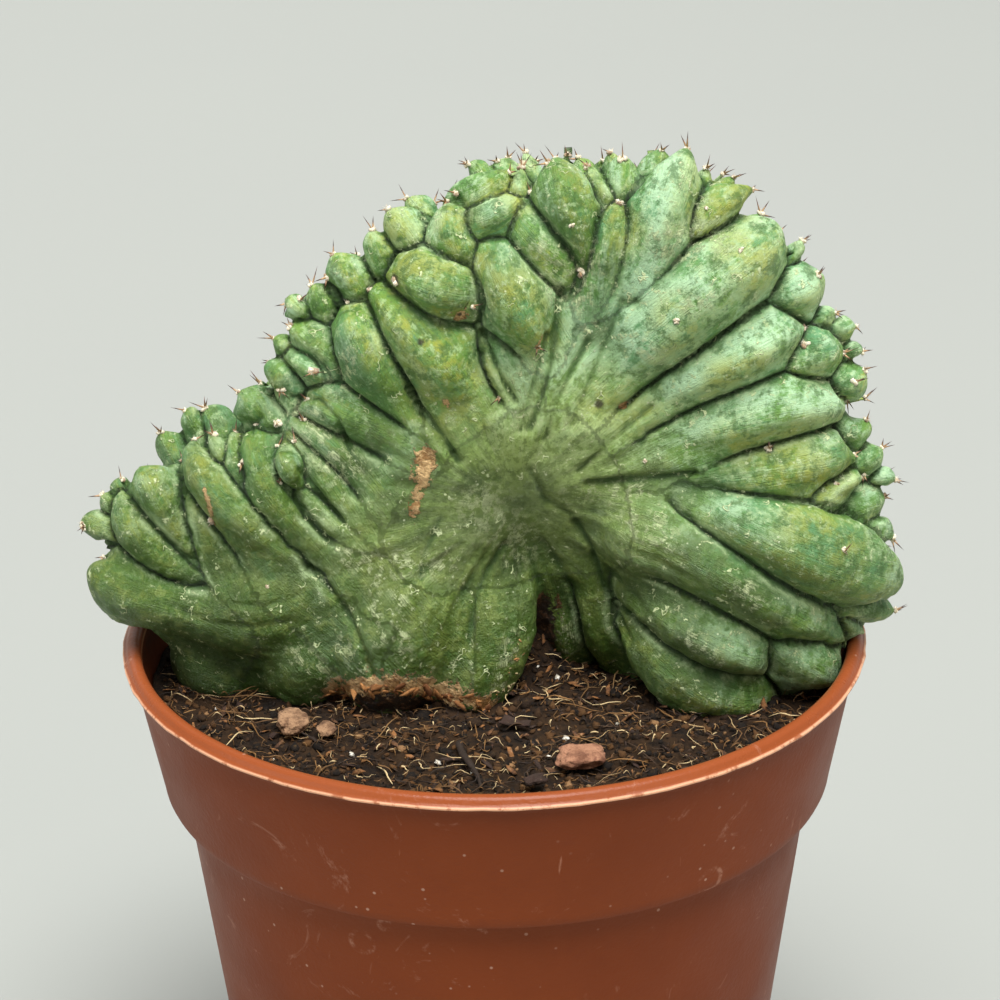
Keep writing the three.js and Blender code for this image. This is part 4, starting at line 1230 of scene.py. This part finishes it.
# %% Spin half an outline into a closed shape
def spun(name, outline, steps):
    """The outline is (radius, height) in millimetres and starts and ends on the upright axis."""
    points = np.array([(r, 0, z) for r, z in outline])
    piece = new_piece(name, points, edges=[(i, i + 1) for i in range(len(outline) - 1)])
    with edit_mode(piece):
        bpy.ops.mesh.spin(steps=steps, angle=2 * np.pi, center=(0, 0, 0), axis=(0, 0, 1))
        bpy.ops.mesh.select_all(action="SELECT")
        bpy.ops.mesh.remove_doubles(threshold=0.002 * MM)
        bpy.ops.mesh.normals_make_consistent(inside=False)
    return smooth_shaded(piece)


# %% The plug
SOIL_REACH, FLOOR_TOP = 48.5, 2.4
SOIL_SIDE = [(47.6, 82.5), (46.1, 74), (45.1, 72.2), (43.6, 70.4), (42.9, 67), (41.2, 56),
             (38.5, 34), (35.6, 11), (34.4, FLOOR_TOP + 0.8), (33.6, FLOOR_TOP), (0, FLOOR_TOP)]


def soil_height(x, y):
    """The soil's height in millimetres above the ground."""
    mound = 6.5 * np.exp(-(((x - 5.5) / 4) ** 2 + ((y - 1) / 7) ** 2))
    mound = mound + 0.8 * np.exp(-((x / 46) ** 2 + (y / 12) ** 2))
    edge = 0.7 * smooth_step(40, 48, np.hypot(x, y))
    rough = sum(high * noise_at(np.stack((x / size, y / size, np.full(len(x), slice_at)), axis=1))
                for high, size, slice_at in ((0.9, 9, 3.1), (0.6, 3, 7.7), (0.35, 1.2, 1.3)))
    return SOIL_TOP + mound + rough - edge - 0.4


rings = np.linspace(0, SOIL_REACH, 90)
soil = spun("soil_peat", [(r, SOIL_TOP) for r in rings] + SOIL_SIDE, 240)
ground = points_of(soil)
on_top = ground[:, 2] > SOIL_TOP - 0.1
ground[on_top, 2] = soil_height(ground[on_top, 0], ground[on_top, 1])
move_points(soil, ground)
bed = tree_of(soil)
print("soil plug:", triangles(soil), "triangles")

# %% Find free places on the soil
def free_spot(dice, reach=47.5):
    """A place on the soil, and its normal, where the crest doesn't stand."""
    while True:
        way, out = dice.uniform(0, 2 * np.pi), reach * dice.random() ** 0.5
        above = Vector((out * np.cos(way), out * np.sin(way), 120)) * MM
        spot, normal, _, _ = bed.ray_cast(above, Vector((0, 0, -1)))
        spot = np.array(spot) / MM
        probe = Vector((spot + (0, 0, 0.4)) * MM)
        near, outward, _, _ = crest_tree.find_nearest(probe)
        if (probe - near).dot(outward) >= 0:
            return spot, np.array(normal)


# %% One crumb, one fibre and one chip
def lumpy(name, roughness, seed, squash=(1, 1, 1), around=5, rings=3):
    bpy.ops.mesh.primitive_uv_sphere_add(segments=around, ring_count=rings, radius=MM)
    lump = bpy.context.object
    lump.name = name
    shape = points_of(lump)
    shape *= 1 + roughness * (noise_at(shape * 1.3 + seed) + 0.5 * noise_at(shape * 3.1 + seed))[:, None]
    move_points(lump, shape * squash)
    return triangulated(lump)


def rod(name, sides, long, cuts):
    """A rod along x with cuts across it, one unit thick and some units long."""
    bpy.ops.mesh.primitive_cylinder_add(vertices=sides, radius=MM, depth=long * MM,
                                        rotation=(0, np.pi / 2, 0))
    bpy.ops.object.transform_apply(location=True, rotation=True)
    made = bpy.context.object
    made.name = name
    with edit_mode(made):
        bm = bmesh.from_edit_mesh(made.data)
        along = [e for e in bm.edges if abs(e.verts[0].co.x - e.verts[1].co.x) > long / 2 * MM]
        bmesh.ops.subdivide_edges(bm, edges=along, cuts=cuts, use_grid_fill=False)
        bmesh.update_edit_mesh(made.data)
    return made


def stamp_strands(name, blank, strands, tones):
    """Strands are (spot, heading, long, thick, curl, arch, twist): bent copies in one mesh."""
    base = points_of(blank)
    faces = [tuple(face.vertices) for face in blank.data.polygons]
    share = base[:, 0] + 0.5
    spots, corners = [], []
    for i, (spot, heading, long, thick, curl, arch, twist) in enumerate(strands):
        bend = heading + curl * (share - 0.5) + 0.5 * curl * np.sin(share * 6.3 + twist)
        middle = np.stack((np.cos(bend) * (share - 0.5) * long, np.sin(bend) * (share - 0.5) * long,
                           arch * np.sin(np.pi * share)), axis=1)
        taper = thick * (1 - 0.55 * np.abs(2 * share - 1))
        side = np.stack((-np.sin(bend), np.cos(bend), np.zeros(len(bend))), axis=1)
        spots.append(spot + middle + side * (base[:, 1] * taper)[:, None]
                     + np.outer(base[:, 2] * taper, (0, 0, 1)))
        corners += [tuple(v + i * len(base) for v in face) for face in faces]
    piece = new_piece(name, np.concatenate(spots), faces=corners)
    paint(piece, "tone", np.repeat(tones, len(base)))
    return smooth_shaded(piece)


# %% Scatter the crumbs
dice = random.Random(7)
crumb = lumpy("crumb", 0.9, 3.0)
coarse = lumpy("coarse", 1.0, 9.0, around=8, rings=4)


def lump_places(count, sizes, flat, lift):
    """Small sizes are common and large ones rare."""
    places = []
    for _ in range(count):
        spot, normal = free_spot(dice)
        size = sizes[0] * (sizes[1] / sizes[0]) ** (dice.random() ** 1.6)
        lean = unit(normal + 0.5 * np.array([dice.gauss(0, 1), dice.gauss(0, 1), 0]))
        axes = axes_along(lean, dice, (size * dice.uniform(0.7, 1.3), size, size * flat))
        places.append((axes, spot + (0, 0, lift * size)))
    return places


small_places = lump_places(3600, (0.22, 0.8), 0.8, 0.2)
crumbs = stamp("soil_crumbs", crumb, small_places, draws(dice, small_places))
large_places = lump_places(110, (0.6, 1.3), 0.65, 0.1)
clods = stamp("soil_clods", coarse, large_places, 0.6 * draws(dice, large_places))
print("crumbs:", triangles(crumbs), "clods:", triangles(clods), "triangles")

# %% Scatter fibres, chips and white grains
fibre_blank = rod("fibre", 3, 1, 5)
strands = []
for _ in range(2300):
    spot, _ = free_spot(dice, 46.5)
    long = 9 ** (dice.random() ** 2.4)
    thick = dice.uniform(0.05, 0.15)
    strands.append((spot + (0, 0, thick + dice.uniform(0.1, 0.7)), dice.uniform(0, 6.3), long, thick,
                    dice.gauss(0, 0.8), dice.uniform(-0.3, 0.9), dice.uniform(0, 6.3)))
fibres_piece = stamp_strands("soil_fibres", fibre_blank, strands, draws(dice, strands))
chip = lumpy("chip", 0.8, 5.0, (1, 0.5, 0.14))
chip_places = lump_places(900, (0.3, 1.3), 1, 0.45)
chips = stamp("soil_chips", chip, chip_places, draws(dice, chip_places))
grain_places = lump_places(34, (0.25, 0.6), 0.8, 0.7)
grains = stamp("soil_white_grains", crumb, grain_places, draws(dice, grain_places))
print("fibres:", triangles(fibres_piece), "chips:", triangles(chips), "triangles")

# %% [markdown]
# The stump's foot wears a torn strip of dry brown crust, and pale flakes cling in the crease to
# its right. Each flake is the bark chip again, laid nearly flat on the skin along a line of the
# picture, and shifted and sized at random, so that the strip looks torn and not stitched.

# %% Flakes of dry crust at the stump's foot
CRUST_LINES = [   # flakes, largest size, range of tones, then the line in the picture
    (44, 1.2, (0, 0.7), ((330, 693), (379, 686), (435, 692), (492, 709))),
    (18, 0.55, (0.8, 1), ((519, 640), (516, 660), (511, 676), (500, 692), (494, 694))),
]
crust_places, crust_tones = [], []
for flakes, largest, tones, line in CRUST_LINES:
    for way in np.linspace(0, 1, flakes):
        place = [np.interp(way * (len(line) - 1), range(len(line)), side) for side in zip(*line)]
        hit = on_skin(place[0] + dice.gauss(0, 3.5), place[1] + dice.gauss(1, 3))
        if hit is not None:
            size = largest * dice.uniform(0.25, 1)
            lean = unit(hit[1] + 0.25 * any_way(dice))
            level = unit(np.cross(lean, (dice.gauss(0, 1), 0, dice.gauss(0, 1))))
            axes = np.stack((level * size * 1.2, np.cross(lean, level) * size * 1.1, lean * size))
            crust_places.append((axes, hit[0] + 0.05 * hit[1]))
            crust_tones.append(dice.uniform(*tones))
crust = stamp("crust_flakes", chip, crust_places, np.array(crust_tones))
for blank in (crumb, coarse, fibre_blank, chip):
    bpy.data.objects.remove(blank)
print("crust:", len(crust_places), "flakes")

# %% The finishes of the soil and the crust
peat = Finish("peat")
rough_peat, fine_peat = peat.noise(420, 8, 0.7), peat.noise(2200, 5, 0.7)
peat.base(rough_peat.step(0.35, 0.62), (22, 13, 6), (54, 36, 18))
peat.layer(fine_peat.step(0.6, 0.75, 0, 0.5), 96, 70, 38)
peat_finish = peat.done(0.9, rough_peat + fine_peat * 0.4, 0.0009, Specular_IOR_Level=0.25)

crumbly = Finish("peat_crumbs")
tone = crumbly.stored("tone")
crumbly.base(tone.step(0.3, 1.0), (20, 12, 6), (90, 60, 30))
crumbly.layer(tone.step(0.95, 0.98, 0, 0.8), 146, 110, 74)
crumbly.layer(crumbly.noise(1600, 5, 0.7).step(0.5, 0.75, 0, 0.5), 104, 78, 42)
crumb_finish = crumbly.done(0.88, crumbly.noise(1900, 5, 0.7), 0.0003, Specular_IOR_Level=0.3)

woody = Finish("dry_fibre")
tone = woody.stored("tone")
woody.base(tone.step(0.1, 0.85), (34, 20, 9), (130, 92, 46))
woody.layer(tone.step(0.74, 0.95), 210, 184, 136)
woody.layer(woody.noise(1500).step(0.5, 0.8, 0, 0.5), 70, 46, 30)
fibre_finish = woody.done(0.75, woody.noise(2500), 0.0001)

bark = Finish("bark")
layered = bark.noise(700, 6, 0.65, bark.stretched(bark.place, (1, 1, 3)))
bark.base(bark.stored("tone").step(0.1, 0.9), (44, 26, 12), (142, 94, 48))
bark.layer(layered.step(0.42, 0.62, 0, 0.7), 52, 30, 20)
bark.layer(bark.noise(1700).step(0.6, 0.75, 0, 0.5), 176, 134, 100)
bark_finish = bark.done(0.8, layered, 0.0004)

chalky = Finish("white_grain")
chalky.base(chalky.noise(1500).step(0.35, 0.65), (170, 160, 140), (235, 230, 218))
chalk_finish = chalky.done(0.8, chalky.noise(2500), 0.0002)

dry = Finish("dry_crust")
tone, layered = dry.stored("tone"), dry.noise(900, 7, 0.7)
dry.base(tone.step(0, 0.75), (110, 66, 30), (186, 130, 74))
dry.layer(tone.step(0.8, 0.95), 226, 214, 162)
dry.layer(layered.step(0.5, 0.66, 0, 0.7), 94, 60, 32)

hand_over(crust, dry.done(0.85, layered, 0.0003), "crest")
hand_over(soil, peat_finish, "soil", "soil")
for piece, material in ((crumbs, crumb_finish), (clods, crumb_finish), (fibres_piece, fibre_finish),
                        (chips, bark_finish), (grains, chalk_finish)):
    hand_over(piece, material, "soil")

# %% [markdown]
# ## The pot
#
# A thin nursery pot is blown or pressed from terracotta-coloured plastic: a plain tapered body, a
# deeper collar that stiffens the rim, and a rounded lip with the ragged pale line where the two
# halves of the mould met. Its floor has a ring of drain holes.
#
# It is one half outline, spun round. The holes are cut with one ring of pegs.

# %% Spin the pot
POT_STEPS = 160
OUTLINE = [
    (0, 1.2), (28, 1.2), (32.6, 1.2), (33.6, 0.9), (34.2, 0.25), (34.9, 0), (35.6, 0.25), (36.0, 1.0),
    (36.35, 4), (37.3, 11.5), (40.2, 34), (42.9, 56), (44.4, 68), (44.85, 71.3), (45.15, 72.15),
    (45.8, 72.55), (46.9, 72.65), (47.45, 72.85), (47.7, 73.4), (47.85, 74.4),
    (48.6, 78.5), (49.6, 84), (50.5, 89), (50.95, 91.4), (51.15, 92.1), (51.5, 92.45), (52.15, 92.55),
    (52.48, 92.7), (52.5, 92.95), (52.3, 93.1), (51.95, 93.2), (51.75, 93.4), (51.6, 93.75),
    (51.3, 94.05), (50.85, 94.2), (50.35, 94.12), (49.95, 93.85), (49.7, 93.4), (49.62, 92.6),
    (49.4, 91), (48.9, 88), (47.9, 82.5), (46.4, 74), (45.4, 72.2), (43.9, 70.4), (43.2, 67),
    (41.5, 56), (38.8, 34), (35.9, 11), (34.9, 3.2), (34.4, 2.3), (33.6, 2.0), (28, 2.0), (0, 2.0)]
pot = spun("pot_shell", OUTLINE, POT_STEPS)
print("pot:", triangles(pot), "triangles")

# %% Cut the drain holes
HOLES, HOLE_RING, HOLE_RADIUS = 8, 27, 3
pegs = []
for way in 2 * np.pi * np.arange(HOLES) / HOLES:
    bpy.ops.mesh.primitive_cylinder_add(
        vertices=24, radius=HOLE_RADIUS * MM, depth=8 * MM,
        location=(HOLE_RING * np.cos(way) * MM, HOLE_RING * np.sin(way) * MM, 1.6 * MM))
    pegs.append(bpy.context.object)
peg = join_as("pegs", pegs)
finish_with(pot, "BOOLEAN", object=peg, operation="DIFFERENCE", solver="EXACT")
bpy.data.objects.remove(peg)
finish_with(pot, "BEVEL", width=0.12 * MM, segments=1, limit_method="ANGLE", angle_limit=np.radians(50))
pick(pot)
bpy.ops.object.shade_smooth_by_angle(angle=np.radians(35))
print("pot with holes:", triangles(pot), "triangles")

# %% [markdown]
# No pot of this kind is quite true: the wall wavers a little, and the mould line on the lip is
# ragged. The inside of the wall above the soil is marked here for the finish, which darkens it
# with a film of soil stain and with painted shade.

# %% A pot that isn't quite true
MOULD_LINE = 52.0    # radius beyond which the lip is the mould line
points = points_of(pot)
way = np.arctan2(points[:, 1], points[:, 0])
out = np.hypot(points[:, 0], points[:, 1])
level = points[:, 2]
waver = noise_at(np.stack((np.cos(way) * 1.2, np.sin(way) * 1.2, level / 40), axis=1))
torn_line = noise_at(np.stack((np.cos(way) * 16, np.sin(way) * 16, np.full(len(way), 5)), axis=1))
on_line = (out > MOULD_LINE) & (level > 92)
shift = 0.18 * waver * smooth_step(30, 90, level) + np.where(on_line, 0.22 * torn_line - 0.2, 0)
points[:, :2] *= (1 + shift / np.maximum(out, 1))[:, None]
points[:, 2] += 0.1 * waver * smooth_step(60, 92, level)
move_points(pot, points)

out, level = np.hypot(points[:, 0], points[:, 1]), points[:, 2]
wall = np.interp(level, (3, 70, 92), (34, 43, 50.2))   # just outside the inner wall
inside = smooth_step(0.2, -0.2, out - wall) * smooth_step(93.4, 90, level) * smooth_step(60, 66, level)
paint(pot, "inside", inside)
print(int((inside > 0.5).sum()), "points on the soiled inside")

# %% The pot's plastic: a cloudy base, a lip lightened as a painted highlight, and the mould line
plastic = Finish("pot_plastic")
heights = plastic.part_of_place("Z")
cloud, grime_and_shade = plastic.noise(28, 5, 0.6), plastic.noise(330, 5, 0.75)
plastic.base(cloud.step(0.3, 0.7), (111, 49, 17), (120, 55, 21))
plastic.layer(plastic.noise(260, 5, 0.7).step(0.55, 0.7, 0, 0.25), 108, 48, 24)
at_lip = heights.step(0.0922, 0.0931)
# The lip's top is lightened as a painted highlight.
plastic.layer(at_lip * 0.5, 158, 84, 48)
mould_line = heights.step(0.09245, 0.09265) * heights.step(0.0932, 0.093)
plastic.layer(mould_line * plastic.noise(420, 4, 0.7).step(0.36, 0.48, 0.25, 1), 214, 160, 126)

# %% Dust, scratches, water rings and specks on the plastic, with soil stain and painted shade inside
WATER_RINGS = ((710, 880, 2.6), (362, 942, 2.4), (385, 925, 1.2))   # across, down, size in millimetres
dusty = plastic.noise(90, 6, 0.75, bend=1.5).step(0.6, 0.72)
plastic.layer(dusty * 0.28, 196, 150, 128)
along_wall = plastic.stretched(plastic.place, (260, 260, 26))
plastic.layer(plastic.noise(1.0, 6, 0.6, along_wall, 0.4).step(0.68, 0.72, 0, 0.3), 206, 150, 122)
pot_tree = tree_of(pot)
for across_px, down_px, size in WATER_RINGS:
    spot = pot_tree.ray_cast(CAMERA_PLACE, sight_line(across_px, down_px))[0]
    away = plastic.node("ShaderNodeVectorMath", {0: plastic.place, 1: tuple(spot)}, "Value",
                        operation="DISTANCE")
    ring = abs(away - size * 0.7 * MM).step(0.5 * MM, 0.1 * MM)
    plastic.layer(ring * grime_and_shade.step(0.46, 0.64, 0, 0.3), 206, 160, 136)
specks = plastic.cells(330).step(0.1, 0.05, 0, 0.35)
plastic.layer(specks * cloud.step(0.45, 0.6), 222, 190, 168)
# The inside of the wall: soil stain, darkened further as painted shade.
plastic.layer(plastic.stored("inside") * grime_and_shade.step(0.35, 0.6, 0.45, 0.95), 46, 27, 15)
rough = plastic.noise(60, 6, 0.6).step(0.3, 0.7, 0.44, 0.56) - at_lip * 0.2
tall = plastic.noise(1400, 2, 0.7) + plastic.noise(160, 3) * 1.2
hand_over(pot, plastic.done(rough, tall, 0.00006, Specular_IOR_Level=0.17), "pot", "pot")

# %% [markdown]
# ## Stones, bark and a twig
#
# Some larger things lie loose on the soil: a flat grey-brown stone with a small one beside it, a
# rust-red stone at the front, two curls of bark and a thin twig. Each stands for its own CAD node
# and keeps its place and size.

# %% Fill a node's box with a piece
def stand_in(node, piece, name, finish, slot, turn=0.0):
    """Fits a detailed piece into the space that a CAD node holds."""
    piece.name = name
    low, high = (np.array(corner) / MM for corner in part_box(node))
    turned = points_of(piece) @ np.array(Matrix.Rotation(-turn, 3, "Z"))
    least, most = turned.min(axis=0), turned.max(axis=0)
    size = (high - low) / (most - least)
    move_points(piece, (turned - (most + least) / 2) * size + (high + low) / 2)
    hand_over(smooth_shaded(piece), finish, slot, node)


def stone(seed):
    """A ball with flattened sides and lumps of three sizes."""
    bpy.ops.mesh.primitive_ico_sphere_add(subdivisions=5, radius=MM)
    made = bpy.context.object
    shape = points_of(made)
    rough = sum(high * noise_at(shape * often + seed)
                for high, often in ((0.3, 0.9), (0.13, 2.6), (0.05, 8)))
    shape = np.sign(shape) * np.abs(shape) ** 0.82 * (1 + rough)[:, None]
    move_points(made, shape * (1, 0.8, 0.7))
    return made


def gritty(name, patches, dark, light, speckles, limits, speck, rough):
    """A stone's finish: patches of two colours, and specks of a third between two limits."""
    grit = Finish(name)
    grit.base(grit.noise(patches, 8, 0.7).step(0.35, 0.62), dark, light)
    grit.layer(grit.noise(speckles, 6, 0.7).step(*limits, 0, 0.7), *speck)
    return grit.done(rough, grit.noise(1500, 6, 0.75), 0.0004)


grey_finish = gritty("grey_stone", 420, (104, 72, 48), (170, 132, 98),
                     1300, (0.52, 0.64), (78, 50, 32), 0.85)
red_finish = gritty("red_stone", 500, (112, 70, 48), (174, 124, 94),
                    1500, (0.55, 0.66), (110, 62, 46), 0.88)
stand_in("stone_left", stone(4.2), "grey_stone", grey_finish, "stone_grey")
stand_in("stone_left_small", stone(8.8), "grey_stone_small", grey_finish, "stone_grey")
stand_in("stone_front", stone(1.7), "red_stone", red_finish, "stone_red")

# %% Curls of bark and the twig
def bark_curl(seed):
    bpy.ops.mesh.primitive_grid_add(x_subdivisions=26, y_subdivisions=14, size=2 * MM)
    made = bpy.context.object
    shape = points_of(made)
    x, y = shape[:, 0], shape[:, 1] * (0.55 + 0.25 * np.cos(shape[:, 0] * 1.4 + seed))
    lift = 0.28 * y ** 2 + 0.12 * x ** 2
    lift += 0.1 * noise_at(np.stack((x * 2, y * 2, np.full(len(x), seed)), axis=1))
    move_points(made, np.stack((x, y, lift), axis=1))
    finish_with(made, "SOLIDIFY", thickness=0.16 * MM, offset=0)
    finish_with(made, "BEVEL", width=0.03 * MM, segments=1)
    return made


stand_in("bark_middle", bark_curl(2.0), "bark_curl", bark_finish, "bark", -0.3)
stand_in("bark_front", bark_curl(6.0), "bark_curl_front", bark_finish, "bark", 0.4)
TWIG_THICK = 0.09
twig = rod("twig", 10, 2, 24)
shape = points_of(twig)
x = shape[:, 0]
thick = TWIG_THICK * (1 - 0.55 * smooth_step(-0.4, 1, x) + 0.18 * np.sin(x * 9) * np.sin(x * 23))
shape[:, 1] = shape[:, 1] * thick + 0.05 * np.sin(x * 3)
shape[:, 2] = shape[:, 2] * thick + 0.03 * np.cos(x * 4)
move_points(twig, shape)
stand_in("twig", twig, "twig_dry", fibre_finish, "twig", -1.3)
print("loose pieces done")

# %% [markdown]
# ## Floor and light
#
# The plant stands on pale paper that bends up far behind it on every side. Most light comes from
# overhead, through a wide soft sun, and a window, a warm fill and two weak lamps open the shades.

# %% The floor
bpy.context.scene.view_settings.view_transform = "Standard"
FLOOR_BOWL = [(0, 0), (600, 0), (1900, 0), (2400, 60), (2850, 260), (3150, 620), (3300, 1150), (3350, 1900)]
floor = spun("floor", FLOOR_BOWL, 96)
paper = Finish("floor_paper")
paper.base(paper.noise(3, 2), (154, 156, 151), (157, 159, 153))
floor.data.materials.append(paper.done(0.9))

# %% The lamps
SKY_COLOUR, SKY_STRENGTH = (0.9, 0.95, 1.0, 1), 0.22
LAMPS = [   # place, aim, size, power, colour
    ("window", (0.15, -0.15, 0.9), (0, 0, 0.1), 0.5, 2.5, (0.95, 0.98, 1)),
    ("fill", (0.65, -0.75, 0.45), (0, 0, 0.08), 0.8, 2.2, (1, 0.91, 0.8)),
    ("left", (-0.8, -0.35, 0.4), (-0.12, 0, 0), 0.6, 2.2, (1, 0.99, 0.96)),
    ("behind", (-0.2, 0.8, 0.6), (0, 0, 0.1), 0.8, 1.2, (1, 1, 1)),
]
world = bpy.data.worlds.new("studio")
bpy.context.scene.world = world
world.use_nodes = True
sky = world.node_tree.nodes["Background"]
sky.inputs["Color"].default_value = SKY_COLOUR
sky.inputs["Strength"].default_value = SKY_STRENGTH
for name, place, aim, size, power, colour in LAMPS:
    bpy.ops.object.light_add(type="AREA", location=place)
    lamp = bpy.context.object
    lamp.name = name
    lamp.data.size = size
    lamp.data.energy = power
    lamp.data.color = colour
    lamp.rotation_euler = (Vector(aim) - Vector(place)).to_track_quat("-Z", "Y").to_euler()
bpy.ops.object.light_add(type="SUN", rotation=(np.radians(20), np.radians(5), 0))
overhead = bpy.context.object
overhead.name = "overhead"
overhead.data.energy = 4.7
overhead.data.angle = np.radians(42)
